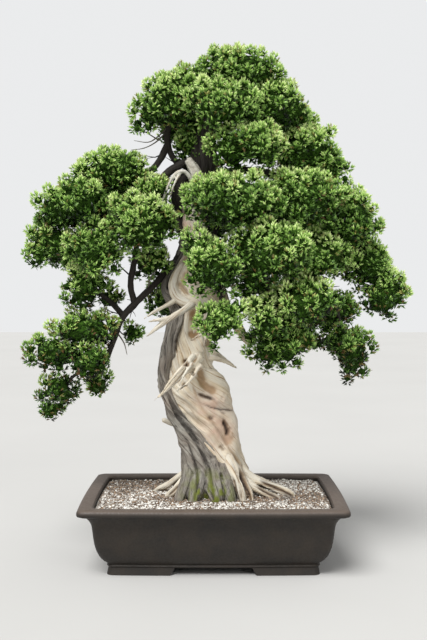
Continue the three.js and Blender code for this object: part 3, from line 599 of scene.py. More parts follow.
def strokeAt(points, stroke):  # how strongly each point lies on a line drawn over the front, as x and z
    line = np.asarray(stroke["line"], float)
    flat = points[:, [0, 2]]
    best, share = np.full(len(points), 1e9), np.zeros(len(points))
    for k in range(len(line) - 1):
        run = line[k + 1] - line[k]
        t = np.clip(((flat - line[k]) @ run) / max(run @ run, 1e-9), 0, 1)
        apart = np.linalg.norm(flat - line[k] - t[:, None] * run, axis=1)
        closer = apart < best
        best[closer], share[closer] = apart[closer], (k + t[closer]) / (len(line) - 1)
    taper = np.minimum(1, np.minimum(share, 1 - share) * 4 + stroke.get("blunt", 0.1))
    best = np.maximum(0, best + stroke.get("ragged", 0.25) * stroke["width"] * noise(points / 5, 7))
    return np.exp(-(best / (stroke["width"] * (0.4 + 0.6 * taper))) ** 2) * taper


def soilStain(points, look):  # wood that the wet grit has darkened
    wet = (look["below"] - points[:, 2]) / look["fade"] + 0.9 * noise(points / look["patch"], 33)
    return np.clip(wet, 0, look["most"]) * (points[:, 2] < look["top"])


def streaks(along, around, which, form, seed):  # noise drawn out along the wood: length, width, shift by limb
    length, width, shift = form
    return noise(np.column_stack([along / length, around / width, which * shift]), seed)


def raised(points, normals, lift):  # the relief fades out under the grit
    fade = np.clip((points[:, 2] - 100) / 30, 0.2, 1)
    return points + normals * (lift * fade)[:, None]


deadwoodLook = {
    "voxel": 0.0026, "trunkMesh": (40, 4), "jinMesh": (10, 3), "rootMesh": (14, 4),  # sides and step
    "ridge": 2.1, "ridgeForm": (46, 7.5, 7.3), "fineRidge": 0.8, "fineForm": (26, 2.6, 3.1),
    "trunkTwist": 0.55, "limbTwist": 0.12, "thinBelow": 12, "thinLeast": 0.15, "limbShift": 0.31,
    "pinkNoise": (0.7, 0.5, 9), "hollowDepth": 4,
    "pale": paint(228, 218, 197), "mid": paint(196, 179, 150), "ochre": paint(150, 118, 78),
    # the dark colour is painted shade in the cut-in cracks
    "pink": paint(201, 171, 150), "paintedShade": paint(44, 26, 17), "grey": paint(208, 205, 194),
    "crack": paint(92, 70, 46),
    "grain": {"Fineness": 330.0, "Stretch": 18.0, "Waver": 0.7},
    "hair": {"Fineness": 900.0, "Stretch": 26.0, "Waver": 0.4},
    "patches": {"Size": 22.0, "Softness": 0.5, "Level": 0.48},
    "greyBands": [(0.4, 0.0), (0.6, 0.7)], "midBands": [(0.3, 0.6), (0.44, 0.0)],
    "midHair": [(0.36, 0.55), (0.5, 0.0)], "ochreLines": [(0.34, 0.85), (0.46, 0.0)],
    "crackLines": [(0.24, 0.8), (0.34, 0.0)], "ochreHollows": [(0.12, 0.0), (0.7, 0.7)],
    "roughness": [(0.3, 0.62), (0.7, 0.82)], "hairHeight": 0.4, "bump": (0.7, 0.0016),
    "stain": paint(92, 80, 48), "wet": {"below": 126, "fade": 12, "patch": 7, "most": 0.9, "top": 142},
    "silverFrom": 620, "silverFade": 80, "silverMost": 0.75, "silverLimbs": 0.25,
    "relief": [  # lines over the trunk's front: width and height in millimetres, and below 0 they are cut in; their dark share is painted shade in the cracks they cut
        {"line": [(-46, 566), (-58, 545), (-60, 524), (-44, 512)], "width": 8, "height": -4, "ochre": 0.1},
        {"line": [(-80, 716), (-66, 690), (-56, 652)], "width": 13, "height": -2, "paintedShade": 0.5,
         "ochre": 0.4},
        {"line": [(-58, 612), (-52, 590), (-60, 566)], "width": 6, "height": -3, "paintedShade": 0.45},
        {"line": [(-46, 484), (-38, 474), (-37, 462)], "width": 7, "height": -5, "ochre": 0.9},
        {"line": [(-52, 440), (-38, 434), (-26, 438)], "width": 7, "height": -4, "ochre": 0.8},
        {"line": [(-12, 434), (-10, 420), (-12, 410)], "width": 8, "height": -3, "ochre": 0.5},
        {"line": [(-20, 380), (-25, 362), (-20, 344), (-2, 330), (12, 318)], "width": 8, "height": -5.5,
         "ochre": 0.55},
        {"line": [(-60, 384), (-52, 386), (-46, 380)], "width": 4, "height": -7, "paintedShade": 1.0, "ochre": 0.5},
        {"line": [(-62, 337), (-56, 340), (-50, 343)], "width": 2.6, "height": -5, "paintedShade": 0.9},
        {"line": [(-32, 326), (-22, 321), (-10, 317), (2, 311)], "width": 3, "height": -6, "paintedShade": 1.0},
        {"line": [(-10, 322), (12, 306), (30, 300)], "width": 6, "height": 3.5},
        {"line": [(-27, 310), (-6, 298), (12, 293), (30, 291), (46, 286)], "width": 1.9, "height": -2.5,
         "paintedShade": 0.8},
        {"line": [(6, 298), (16, 288), (24, 282)], "width": 1.8, "height": -2, "paintedShade": 0.5},
        {"line": [(16, 284), (20, 262), (30, 236), (38, 226)], "width": 11, "height": -3, "ochre": 0.55,
         "pink": 0.6},
        {"line": [(19, 278), (22, 264), (27, 250), (31, 238)], "width": 3.8, "height": -9, "paintedShade": 1.0,
         "ragged": 0.6},
        {"line": [(-8, 281), (-3, 275)], "width": 3.4, "height": -4, "paintedShade": 0.75, "blunt": 0.6,
         "ragged": 0.6},
        {"line": [(12, 226), (20, 212)], "width": 3.6, "height": -3, "paintedShade": 0.5, "ragged": 0.6},
        {"line": [(-22, 300), (-2, 268), (22, 232), (44, 196), (62, 168)], "width": 2.4, "height": -2.2,
         "paintedShade": 0.3, "ochre": 0.5},
        {"line": [(30, 300), (46, 262), (52, 226), (66, 190)], "width": 7, "height": 2.6},
        {"line": [(92, 151), (118, 139), (146, 126), (158, 116)], "width": 3.2, "height": -6, "paintedShade": 1.0,
         "blunt": 0.4},
        {"line": [(84, 144), (108, 131), (134, 119)], "width": 2.9, "height": -5, "paintedShade": 1.0,
         "blunt": 0.4},
        {"line": [(-60, 152), (-76, 138), (-90, 122)], "width": 2.6, "height": -4, "paintedShade": 0.7},
        {"line": [(34, 196), (46, 168), (52, 140), (54, 118)], "width": 2.2, "height": -3, "paintedShade": 0.5},
        {"line": [(0, 322), (14, 318), (26, 312)], "width": 8, "height": 4.5},
        {"line": [(-42, 366), (-36, 364)], "width": 6, "height": 5, "blunt": 1},
        {"line": [(-38, 365), (-37, 364)], "width": 2.6, "height": -8, "paintedShade": 0.8, "blunt": 1},
        {"line": [(52, 176), (58, 160), (66, 140), (70, 118)], "width": 4.2, "height": -10, "paintedShade": 1.0,
         "blunt": 0.4},
        {"line": [(34, 170), (40, 152), (44, 130), (46, 116)], "width": 3, "height": -5, "paintedShade": 0.6},
        {"line": [(-4, 344), (4, 300), (2, 262), (10, 226)], "width": 22, "height": 3},
        {"line": [(-44, 352), (-34, 322), (-18, 288), (4, 252)], "width": 2.4, "height": -2, "ochre": 0.5},
        {"line": [(-6, 500), (14, 486), (30, 466)], "width": 2.6, "height": -2.5, "ochre": 0.6,
         "paintedShade": 0.25},
        {"line": [(-52, 640), (-46, 600), (-50, 566)], "width": 2.6, "height": -2.5, "ochre": 0.5,
         "paintedShade": 0.3},
    ],
    "pinkAreas": [(8, 262, 30, 44), (-10, 300, 30, 26), (-58, 640, 14, 30), (30, 488, 18, 26)],
}


def windingRelief(turn, share):  # broad ridges that wind up the deadwood
    waves = 0.04 * np.sin(2 * turn + 9 * share) + 0.05 * np.sin(5 * turn - 14 * share + 1.3)
    return 1 + np.minimum(1, 12 * share) * waves


def furrowRelief(turn, share):  # furrows up the living trunk
    waves = 0.05 * np.sin(3 * turn + 6 * share + 0.6) + 0.05 * np.sin(6 * turn - 8 * share)
    return 1 + np.minimum(1, 12 * share) * waves


def makeDeadwood():
    look = deadwoodLook
    limbs = [Limb(deadTrunk, *look["trunkMesh"], windingRelief)]
    limbs += [Limb(rows, *look["jinMesh"]) for rows in jins]
    limbs += [Limb(rows, *look["rootMesh"]) for rows in deadRoots]
    parts = [(place(points), faces) for points, faces in (limb.shell() for limb in limbs)]
    piece = welded("deadwood_bleached", parts, look["voxel"])
    mesh = piece.data
    points, normals = surfaceOf(mesh)
    which, along, angle = nearestLimb(points, limbs)
    radius = np.array([limb.line[:, 3].mean() for limb in limbs])[which]
    trunk = which == 0
    around = angle * radius + np.where(trunk, along * look["trunkTwist"], along * look["limbTwist"])
    thin = np.clip(radius / look["thinBelow"], look["thinLeast"], 1)
    lift = look["ridge"] * thin * (1 - 2 * np.abs(streaks(along, around, which, look["ridgeForm"], 1)))
    lift += look["fineRidge"] * thin * streaks(along, around, which, look["fineForm"], 2)
    front = np.clip(np.clip(0.35 - normals[:, 1], 0, 1) * 2, 0, 1)
    # the dark mark is painted shade in the cracks and grooves the relief cuts in
    marks = {name: np.zeros(len(points)) for name in ("paintedShade", "ochre", "pink")}
    for stroke in look["relief"]:
        on = strokeAt(points, stroke) * front
        lift += stroke["height"] * on
        for name in marks:
            marks[name] = np.maximum(marks[name], on * stroke.get(name, 0))
    for x, z, wide, high in look["pinkAreas"]:
        area = np.exp(-((points[:, 0] - x) / wide) ** 2 - ((points[:, 2] - z) / high) ** 2)
        level, change, size = look["pinkNoise"]
        marks["pink"] = np.maximum(marks["pink"], area * (level + change * noise(points / size, 5)))
    points = raised(points, normals, lift)
    mesh.vertices.foreach_set("co", place(points).astype(np.float32).ravel())
    mesh.update()
    mark(mesh, "along", along / 1000)
    mark(mesh, "round", around / 1000 + which * look["limbShift"])
    mark(mesh, "hollow", np.clip(-lift / look["hollowDepth"], 0, 1))
    mark(mesh, "stain", soilStain(points, look["wet"]))
    silver = np.clip((points[:, 2] - look["silverFrom"]) / look["silverFade"], 0, look["silverMost"])
    mark(mesh, "silver", silver + np.where(trunk, 0, look["silverLimbs"]))
    for name, values in marks.items():
        mark(mesh, name, np.clip(values, 0, 1))
    return piece


def deadwoodMaterial():
    look = deadwoodLook
    material, tree, shader = newMaterial("bleachedWood")
    along, around = marked(tree, "along"), marked(tree, "round")
    grain = placed(tree, woodGrain, Along=along, Round=around, **look["grain"])
    hair = placed(tree, woodGrain, Along=along, Round=around, **look["hair"])
    patches = placed(tree, mottle, **look["patches"])
    colour = blend(tree, patches["Patches"], look["mid"], look["pale"])
    colour = blend(tree, ramp(tree, grain["Bands"], look["greyBands"]), colour, look["grey"])
    colour = blend(tree, ramp(tree, grain["Bands"], look["midBands"]), colour, look["mid"])
    colour = blend(tree, ramp(tree, hair["Lines"], look["midHair"]), colour, look["mid"])
    colour = blend(tree, marked(tree, "silver"), colour, look["grey"])
    colour = blend(tree, ramp(tree, grain["Lines"], look["ochreLines"]), colour, look["ochre"])
    colour = blend(tree, ramp(tree, grain["Lines"], look["crackLines"]), colour, look["crack"])
    colour = blend(tree, ramp(tree, marked(tree, "hollow"), look["ochreHollows"]), colour, look["ochre"])
    colour = blend(tree, marked(tree, "ochre"), colour, look["ochre"])
    colour = blend(tree, marked(tree, "pink"), colour, look["pink"])
    colour = blend(tree, marked(tree, "stain"), colour, look["stain"])
    # painted shade in the cracks
    colour = blend(tree, marked(tree, "paintedShade"), colour, look["paintedShade"])
    tree.links.new(colour, shader.inputs["Base Color"])
    tree.links.new(ramp(tree, grain["Bands"], look["roughness"]), shader.inputs["Roughness"])
    height = maths(tree, "MULTIPLY", hair["Lines"], look["hairHeight"])
    height = maths(tree, "ADD", grain["Lines"], height)
    addBump(tree, shader, height, *look["bump"])
    return material


deadwood = makeDeadwood()
finishPiece(deadwood, [deadwoodMaterial()], ["deadwood"])
print("deadwood", len(deadwood.data.polygons))

barkLook = {
    "voxel": 0.0026, "trunkMesh": (40, 4), "rootMesh": (16, 4), "boughMesh": (9, 9), "twigMesh": (4, 5),
    "furrow": 3.2, "furrowForm": (60, 8, 5.1), "fineFurrow": 1.6, "fineForm": (26, 3.2, 2.3),
    "twist": 0.18, "knobs": 0.16, "knobSize": 9, "boughShift": 37, "widthLeast": 16,
    "thinBelow": 22, "thinLeast": 0.3, "hollowDepth": 3,
    # deep draws the bark's own dark fissure lines, and is painted shade in the furrows
    "ridge": paint(150, 147, 138), "body": paint(104, 98, 90), "deep": paint(34, 28, 23),
    # the near-black bough colour is painted shade on the boughs and the upper trunk inside the foliage
    "brown": paint(112, 90, 74), "boughShade": paint(31, 25, 19),
    "moss": paint(104, 112, 34), "mossTop": 190, "mossFade": 45, "mossMiddle": -8, "mossHalf": 42,
    "mossPatch": (7, 7, 16),
    "stain": paint(66, 54, 30), "wet": {"below": 128, "fade": 14, "patch": 8, "most": 0.85, "top": 150},
    # painted shade: the trunk darkens upwards into the foliage, and the boughs take nearly the full shade
    # colour
    "shadeFrom": 560, "shadeFade": 160, "shadeTrunk": 0.85, "shadeBoughs": 0.95, "hollowBoughs": 0.3,
    "twigsEach": 26, "twigLength": (14, 58), "twigThickness": 1.5, "twigEnd": 0.4,
    "grain": {"Fineness": 230.0, "Stretch": 11.0, "Waver": 1.4},
    "fibres": {"Fineness": 620.0, "Stretch": 20.0, "Waver": 0.8},
    "patches": {"Size": 18.0, "Softness": 0.6, "Level": 0.52}, "topLightAndDust": {"Amount": 0.35, "Size": 70.0},
    "ridgeFibres": [(0.36, 0.0), (0.6, 1.0)], "brownShare": 0.45, "deepLines": [(0.36, 0.8), (0.46, 0.0)],
    "deepFibres": [(0.28, 0.6), (0.4, 0.0)], "hollowShade": [(0.35, 0.0), (1.0, 0.8)],
    "roughness": [(0.3, 0.78), (0.7, 0.95)], "fibreHeight": 0.4, "bump": (0.9, 0.0026),
    "relief": [
        {"line": [(-84, 312), (-72, 286), (-58, 268), (-43, 254), (-31, 236), (-23, 226)], "width": 4,
         "height": -8},
        {"line": [(-60, 250), (-48, 224), (-36, 196), (-30, 160), (-28, 124)], "width": 4, "height": -6},
        {"line": [(-34, 232), (-18, 204), (-8, 176), (-2, 140), (0, 116)], "width": 4, "height": -6},
        {"line": [(-12, 210), (4, 186), (14, 160), (22, 130)], "width": 4, "height": -5},
        {"line": [(-74, 268), (-60, 236), (-50, 200), (-46, 160), (-50, 122)], "width": 9, "height": 3.5},
        {"line": [(-46, 244), (-30, 214), (-20, 184), (-14, 150), (-12, 120)], "width": 8, "height": 3.5},
        {"line": [(-20, 220), (-2, 194), (8, 168), (12, 140), (16, 116)], "width": 7, "height": 3.5},
        {"line": [(12, 174), (18, 158)], "width": 10, "height": 6, "blunt": 1},
        {"line": [(15, 170), (18, 162)], "width": 3.6, "height": -9, "blunt": 1},
    ],
}


def twigsOn(limbs):  # short bare side twigs along the boughs
    look = barkLook
    found = []
    for limb in limbs:
        for along in draw.uniform(0.12, 0.82, int(limb.run[-1] / look["twigsEach"])):
            k = int(along * (len(limb.line) - 1))
            turn, length = draw.uniform(0, fullTurn), draw.uniform(*look["twigLength"])
            out = limb.across[k] * math.cos(turn) + limb.back[k] * math.sin(turn)
            way = unit(out + limb.tangent[k] * draw.uniform(0.4, 1.6))
            foot = limb.line[k, :3]
            bend = foot + way * length * 0.5 + draw.normal(0, 0.07, 3) * length
            tip = bend + way * length * 0.5 + [0, 0, length * 0.2] + draw.normal(0, 0.12, 3) * length
            thick = min(look["twigThickness"], 0.4 * limb.line[k, 3])
            found.append(Limb([(*foot, thick), (*bend, thick * 0.7), (*tip, look["twigEnd"])], 4, 9))
            side = bend + unit(out + draw.normal(0, 0.6, 3)) * length * 0.35
            half = (bend + side) / 2 + draw.normal(0, 1, 3)
            found.append(Limb([(*bend, thick * 0.6), (*half, thick * 0.5), (*side, look["twigEnd"])], 3, 9))
    return found


def makeBark():  # the living trunk and its roots: points, triangles and their marks
    look = barkLook
    limbs = [Limb(livingTrunk, *look["trunkMesh"], furrowRelief)]
    limbs += [Limb(rows, *look["rootMesh"]) for rows in barkRoots]
    parts = [(place(points), faces) for points, faces in (limb.shell() for limb in limbs)]
    piece = welded("bark", parts, look["voxel"])
    mesh = piece.data
    points, normals = surfaceOf(mesh)
    which, along, angle = nearestLimb(points, limbs)
    radius = np.array([limb.line[:, 3].mean() for limb in limbs])[which]
    around = angle * np.maximum(radius, look["widthLeast"]) + along * look["twist"]
    thin = np.clip(radius / look["thinBelow"], look["thinLeast"], 1)
    lift = look["furrow"] * thin * (1 - 2.4 * np.abs(streaks(along, around, which, look["furrowForm"], 11)))
    lift += look["fineFurrow"] * streaks(along, around, which, look["fineForm"], 12)
    front = np.clip(0.4 - normals[:, 1], 0, 1)
    for stroke in look["relief"]:
        lift += stroke["height"] * strokeAt(points, stroke) * front
    faces = np.zeros(len(mesh.polygons) * 4, np.int32)
    mesh.polygons.foreach_get("vertices", faces)
    faces = faces.reshape(-1, 4)
    bpy.data.objects.remove(piece)
    faces = np.concatenate([faces[:, :3], faces[:, [0, 2, 3]]])
    points = raised(points, normals, lift)
    # painted shade on the trunk, deeper upwards into the foliage
    paintedShade = np.clip((points[:, 2] - look["shadeFrom"]) / look["shadeFade"], 0, look["shadeTrunk"])
    return points, faces, (along, around, np.clip(-lift / look["hollowDepth"], 0, 1), paintedShade)


def makeBranches(limbs, firstPale):  # knobbly bars; those from firstPale on are grey
    look = barkLook
    for n, limb in enumerate(limbs):
        points, faces = limb.shell()
        knobs = 1 + look["knobs"] * noise(points / look["knobSize"], 21)
        index = np.minimum(np.arange(len(points)) // limb.sides, len(limb.line) - 1)
        index[-2:] = (0, len(limb.line) - 1)
        centre = limb.line[index, :3]
        turn = (np.arange(len(points)) % limb.sides) / limb.sides * 2 * np.pi
        around = turn * limb.line[index, 3] + n * look["boughShift"]
        hollow = np.full(len(points), look["hollowBoughs"])
        # painted shade on the boughs and their twigs, none on the grey twigs
        paintedShade = np.full(len(points), look["shadeBoughs"] if n < firstPale else 0)
        yield centre + (points - centre) * knobs[:, None], faces, (limb.run[index], around, hollow, paintedShade)


def makeLivingWood():
    look = barkLook
    boughLimbs = [Limb(rows, *look["boughMesh"]) for rows in boughs.values()]
    bark = makeBark()
    paintedShade = boughLimbs + twigsOn(boughLimbs)
    bare = [Limb(rows, *look["twigMesh"]) for rows in paleTwigs]
    shells = [bark, *makeBranches(paintedShade + bare, len(paintedShade))]
    points, faces = joined([shell[:2] for shell in shells])
    marks = zip(*(shell[2] for shell in shells))
    along, around, hollow, shaded = (np.concatenate(values) for values in marks)
    mesh = meshFrom("living_bark", place(points), faces)
    mark(mesh, "along", along / 1000)
    mark(mesh, "round", around / 1000)
    mark(mesh, "hollow", hollow)
    # this mark carries painted shade on the boughs and the upper trunk
    mark(mesh, "boughShade", shaded)
    moss = np.clip((look["mossTop"] - points[:, 2]) / look["mossFade"], 0, 1)
    moss *= np.clip(0.45 + noise(points / look["mossPatch"], 31) * 2, 0, 1)
    off = np.abs(points[:, 0] - look["mossMiddle"])
    mark(mesh, "moss", moss * np.clip(1.5 - off / look["mossHalf"], 0, 1))
    mark(mesh, "stain", soilStain(points, look["wet"]))
    return objectFrom("living_bark", mesh)


def barkMaterial():
    look = barkLook
    material, tree, shader = newMaterial("fibrousBark")
    along, around = marked(tree, "along"), marked(tree, "round")
    grain = placed(tree, woodGrain, Along=along, Round=around, **look["grain"])
    fibres = placed(tree, woodGrain, Along=along, Round=around, **look["fibres"])
    patches = placed(tree, mottle, **look["patches"])
    dustAndLight = placed(tree, dustAndTopLight, **look["topLightAndDust"])
    colour = blend(tree, ramp(tree, fibres["Lines"], look["ridgeFibres"]), look["body"], look["ridge"])
    brownness = maths(tree, "MULTIPLY", patches["Patches"], look["brownShare"])
    colour = blend(tree, brownness, colour, look["brown"])
    colour = blend(tree, ramp(tree, grain["Lines"], look["deepLines"]), colour, look["deep"])
    colour = blend(tree, ramp(tree, fibres["Lines"], look["deepFibres"]), colour, look["deep"])
    # painted shade in the furrows, darker the deeper they are cut
    colour = blend(tree, ramp(tree, marked(tree, "hollow"), look["hollowShade"]), colour, look["deep"])
    # dust and painted light on faces that look up
    colour = blend(tree, dustAndLight["Mask"], colour, look["ridge"])
    # painted shade on the boughs and the upper trunk
    colour = blend(tree, marked(tree, "boughShade"), colour, look["boughShade"])
    colour = blend(tree, marked(tree, "stain"), colour, look["stain"])
    colour = blend(tree, marked(tree, "moss"), colour, look["moss"])
    tree.links.new(colour, shader.inputs["Base Color"])
    tree.links.new(ramp(tree, grain["Bands"], look["roughness"]), shader.inputs["Roughness"])
    height = maths(tree, "MULTIPLY", fibres["Lines"], look["fibreHeight"])
    height = maths(tree, "ADD", grain["Lines"], height)
    addBump(tree, shader, height, *look["bump"])
    return material


barkSkin = barkMaterial()
livingWood = makeLivingWood()
finishPiece(livingWood, [barkSkin], ["live_wood"])
print("living wood", len(livingWood.data.polygons))


# Foliage

def ball(level):  # an icosphere's points and triangles
    golden = (1 + 5**0.5) / 2
    points = [(-1, golden, 0), (1, golden, 0), (-1, -golden, 0), (1, -golden, 0)]
    points += [(0, -1, golden), (0, 1, golden), (0, -1, -golden), (0, 1, -golden)]
    points += [(golden, 0, -1), (golden, 0, 1), (-golden, 0, -1), (-golden, 0, 1)]
    faces = [(0, 11, 5), (0, 5, 1), (0, 1, 7), (0, 7, 10), (0, 10, 11), (1, 5, 9), (5, 11, 4), (11, 10, 2)]
    faces += [(10, 7, 6), (7, 1, 8), (3, 9, 4), (3, 4, 2), (3, 2, 6), (3, 6, 8), (3, 8, 9), (4, 9, 5)]
    faces += [(2, 4, 11), (6, 2, 10), (8, 6, 7), (9, 8, 1)]
    points = [list(p) for p in unit(np.array(points, float))]
    for _ in range(level):
        middles, finer = {}, []

        def middle(a, b):
            key = (min(a, b), max(a, b))
            if key not in middles:
                middles[key] = len(points)
                points.append(list(unit(np.add(points[a], points[b]) / 2)))
            return middles[key]

        for a, b, c in faces:
            ab, bc, ca = middle(a, b), middle(b, c), middle(c, a)
            finer += [(a, ab, ca), (ab, b, bc), (ca, bc, c), (ab, bc, ca)]
        faces = finer
    return np.array(points), np.array(faces)


foliageLook = {
    "castFrom": 0.4, "leastReach": 0.005, "grow": -0.0065, "neighbourGap": 0.03, "merge": 0.013,
    "mergeDeepest": -0.03, "mergeMost": 0.012, "lump": 0.008, "lumpSize": 0.05, "fringe": 0.012,
    "leastCut": 0.012, "hiddenDepth": 0.006, "coreShare": 0.84,
    "clumpGap": 0.0215, "clumpSize": 0.0112, "clumpRange": (0.78, 1.3), "clumpWaist": 0.9,
    "clumpPoint": 0.36, "clumpShare": 0.6, "clumpRise": (-0.85, 0.65), "missing": 0.0,
    "leadOut": 0.7, "leadUp": 0.55, "leadLoose": 0.35,
    "tuftGap": 0.0071, "tuftGapUnder": 0.0098, "underside": -0.3, "tuftsLeast": 5, "tuftCell": 0.87,
    "tuftLoose": (0.09, 0.35), "tuftLowest": -0.42, "tuftUp": 0.6, "tuftLean": 0.2, "goldenTurn": 2.39996,
    "nearby": 0.04, "clearShare": 0.87,
    "blades": 4, "bladeLength": 0.0096, "bladeRoot": 0.0045, "bladeWidth": 0.0027, "bladeLean": (0.2, 0.6),
    "uprightLean": 0.08, "bladeTurn": 0.25, "lengthRange": (0.75, 1.25), "widthRange": (0.8, 1.2),
    "waistAt": 0.56, "keel": 0.3,
    # painted light: clumps high in a pad and facing up get a lighter tone, low and downward ones a darker one
    "tone": 0.46, "layer": 0.12, "layerGain": 1.3, "patch": 0.14, "patchSize": 0.05, "upwardLight": 0.13,
    # painted light and shade: tufts standing out from the pad get a lighter tone and those sunk between
    # clumps a darker one; each blade's root is painted in shade, and its pale tip is partly young growth,
    # partly painted highlight
    "proud": 0.19, "proudFrom": 0.1, "proudRange": (-1.2, 1), "bladeTones": (-0.34, 0.03, 0.24),
    "clumpUneven": 0.08, "tuftUneven": 0.1, "bladeUneven": 0.07,
    "toneStops": [(0.04, "deep"), (0.26, "shade"), (0.52, "leaf"), (0.78, "lime"), (1.0, "tip")],
    # painted shade: clumps low on the outside are darkened; that older growth also has more dry needles
    "oldGrowthShade": 0.24, "oldGrowthShadeBelow": 560, "oldGrowthShadeOut": 120, "oldGrowthShadeFade": (90, 60),
    "dry": 0.05, "dryPatch": 0.04, "dryPatchSize": 0.06, "dryLow": 0.1, "dryShare": 0.55,
    "patches": {"Size": 30.0, "Softness": 0.6, "Level": 0.5}, "patchTone": 0.35, "roughness": 0.48,
    # the inside colours are painted shade on the dark inner balls under the needles
    "insideGrains": 260.0, "insideRoughness": 0.95, "insideShine": 0.08, "insideBump": (1.0, 0.003),
    "lobes": [  # rounder growth past a pad's own form: node, x, y, z and radius in millimetres
        ("foliage_crown_01", 18, 0, 950, 42), ("foliage_crown_02", -40, -5, 920, 36),
        ("foliage_crown_02", -136, -8, 846, 28), ("foliage_crown_05", 224, 10, 752, 34),
        ("foliage_right_06", 72, -98, 534, 30), ("foliage_right_11", 92, -62, 404, 30),
        ("foliage_right_07", -34, -104, 606, 32), ("foliage_left_13", -340, 0, 322, 18),
        ("foliage_crown_01", 46, 0, 944, 40), ("foliage_crown_02", -52, -5, 926, 34),
        ("foliage_crown_04", 126, -10, 900, 32), ("foliage_left_02", -310, -20, 660, 30),
        ("foliage_left_03", -344, -5, 592, 28), ("foliage_right_05", 350, 12, 510, 30),
        ("foliage_right_04", 346, 12, 546, 30), ("foliage_right_09", 10, -140, 436, 20),
        ("foliage_left_14", -326, 10, 282, 15), ("foliage_left_13", -284, 0, 318, 22),
        ("foliage_right_12", 268, -10, 386, 32), ("foliage_left_01", -236, -5, 752, 30),
        ("foliage_left_02", -256, -20, 735, 26), ("foliage_right_03", 250, 0, 716, 22),
        ("foliage_crown_10", -50, 20, 796, 28), ("foliage_crown_06", 34, -70, 764, 24),
        ("foliage_right_09", 34, -136, 496, 26),
    ],
    "gaps": [  # where the outline turns in or the sky shows through: x, z and radius in millimetres
        (-331, 755, 47), (336, 708, 44), (370, 590, 34), (-314, 535, 34), (202, 363, 40), (203, 912, 37),
        (261, 827, 33), (-103, 967, 30), (230, 540, 12), (-258, 342, 12), (69, 465, 8), (22, 508, 5),
        (-71, 591, 5), (-42, 990, 8), (140, 1002, 38), (-152, 932, 20), (-124, 785, 20), (-352, 335, 14),
        (-48, 446, 14), (36, 420, 10),
    ],
    # deep is the painted shade at the blade roots, and tip the pale blade tips, partly young growth and
    # partly painted highlight
    "deep": paint(10, 22, 4), "shade": paint(52, 84, 28), "leaf": paint(116, 158, 66),
    "lime": paint(180, 214, 114), "tip": paint(222, 238, 164),
    # inside and insideLight are painted shade on the inner balls
    "brown": paint(144, 104, 64), "inside": paint(16, 28, 8), "insideLight": paint(56, 88, 26),
}
fineBall, fineFaces = ball(4)  # the first points of a finer ball are those of a coarser one
coreBall = ball(3)[0]
midBall, midFaces = ball(2)
lowBall, lowFaces = ball(0)
links = np.concatenate([fineFaces[:, [0, 1]], fineFaces[:, [1, 2]], fineFaces[:, [2, 0]]])
linkCount = np.bincount(links.ravel(), minlength=len(fineBall))


def smoothed(values, times):
    for _ in range(times):
        total = np.bincount(links[:, 0], values[links[:, 1]], len(values))
        total += np.bincount(links[:, 1], values[links[:, 0]], len(values))
        values = 0.4 * values + 0.6 * total / linkCount
    return values


def normalsFrom(points, faces):
    a, b, c = (points[faces[:, k]] for k in range(3))
    flat = np.cross(b - a, c - a)
    total = np.zeros_like(points)
    for k in range(3):
        np.add.at(total, faces[:, k], flat)
    return unit(total)


def padShape(node):  # the pad's outside as a smooth form round its middle
    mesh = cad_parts[node].data
    tree = BVHTree.FromPolygons([v.co[:] for v in mesh.vertices], [p.vertices[:] for p in mesh.polygons])
    low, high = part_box(node)
    middle = (low + high) / 2
    reach = np.zeros(len(fineBall))
    for k, way in enumerate(fineBall):
        way = Vector(way)
        hit = tree.ray_cast(middle + way * foliageLook["castFrom"], -way)[0]
        reach[k] = (hit - middle).length if hit else foliageLook["leastReach"]
    for owner, x, y, z, size in foliageLook["lobes"]:
        if owner == node:
            apart = place([x, y, z]) - np.array(middle)
            ahead = fineBall @ apart
            inside = ahead**2 - apart @ apart + (size / 1000) ** 2
            outer = np.maximum(reach, ahead + np.sqrt(np.maximum(inside, 0)))
            reach = np.where((inside > 0) & (ahead > 0), outer, reach)
    return np.array(middle), smoothed(reach, 4) + foliageLook["grow"]


def openedUp(middle, reach):  # pulls the pad in where a gap is wanted
    deeper = 1 + (middle[1] - potMiddle[1]) / cameraLook["back"]
    eye = cameraLook["height"] * 1000
    for x, z, size in foliageLook["gaps"]:
        seen = place([x * deeper, 0, eye + (z - eye) * deeper])
        apart = (seen - middle)[[0, 2]]
        way = fineBall[:, [0, 2]]
        length = np.maximum((way**2).sum(axis=1), 1e-6)
        ahead = way @ apart
        inside = ahead**2 - length * (apart @ apart - (size / 1000 + foliageLook["fringe"]) ** 2)
        cutAt = (ahead - np.sqrt(np.maximum(inside, 0))) / length
        met = (inside > 0) & (ahead > 0) & (cutAt > foliageLook["leastCut"])
        reach = np.where(met, np.minimum(reach, cutAt), reach)
    return smoothed(reach, 1)


padShapes = {node: padShape(node) for node in sorted(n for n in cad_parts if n.startswith("foliage_"))}


def outsideOf(node, points):  # how far points lie outside another pad, roughly
    middle, reach = padShapes[node]
    apart = points - middle
    near = (apart @ coreBall.T).argmax(axis=1)
    return np.linalg.norm(apart, axis=1) - reach[near]


def neighbours(node):
    middle, reach = padShapes[node]
    limit = reach.max() + foliageLook["neighbourGap"]
    return [other for other, (at, far) in padShapes.items()
            if other != node and np.linalg.norm(at - middle) < limit + far.max()]


def merged(node):  # the pad's outside, filled out where it meets its neighbours and made uneven
    look = foliageLook
    middle, reach = padShapes[node]
    skin = middle + fineBall * reach[:, None]
    total = np.ones(len(skin))
    for other in neighbours(node):
        total += np.exp(-np.maximum(outsideOf(other, skin), look["mergeDeepest"]) / look["merge"])
    swell = np.minimum(look["merge"] * np.log(total), look["mergeMost"])
    reach = smoothed(reach + swell, 2) + look["lump"] * noise(skin / look["lumpSize"], 43)
    return middle, openedUp(middle, reach)


padShapes = {node: merged(node) for node in padShapes}


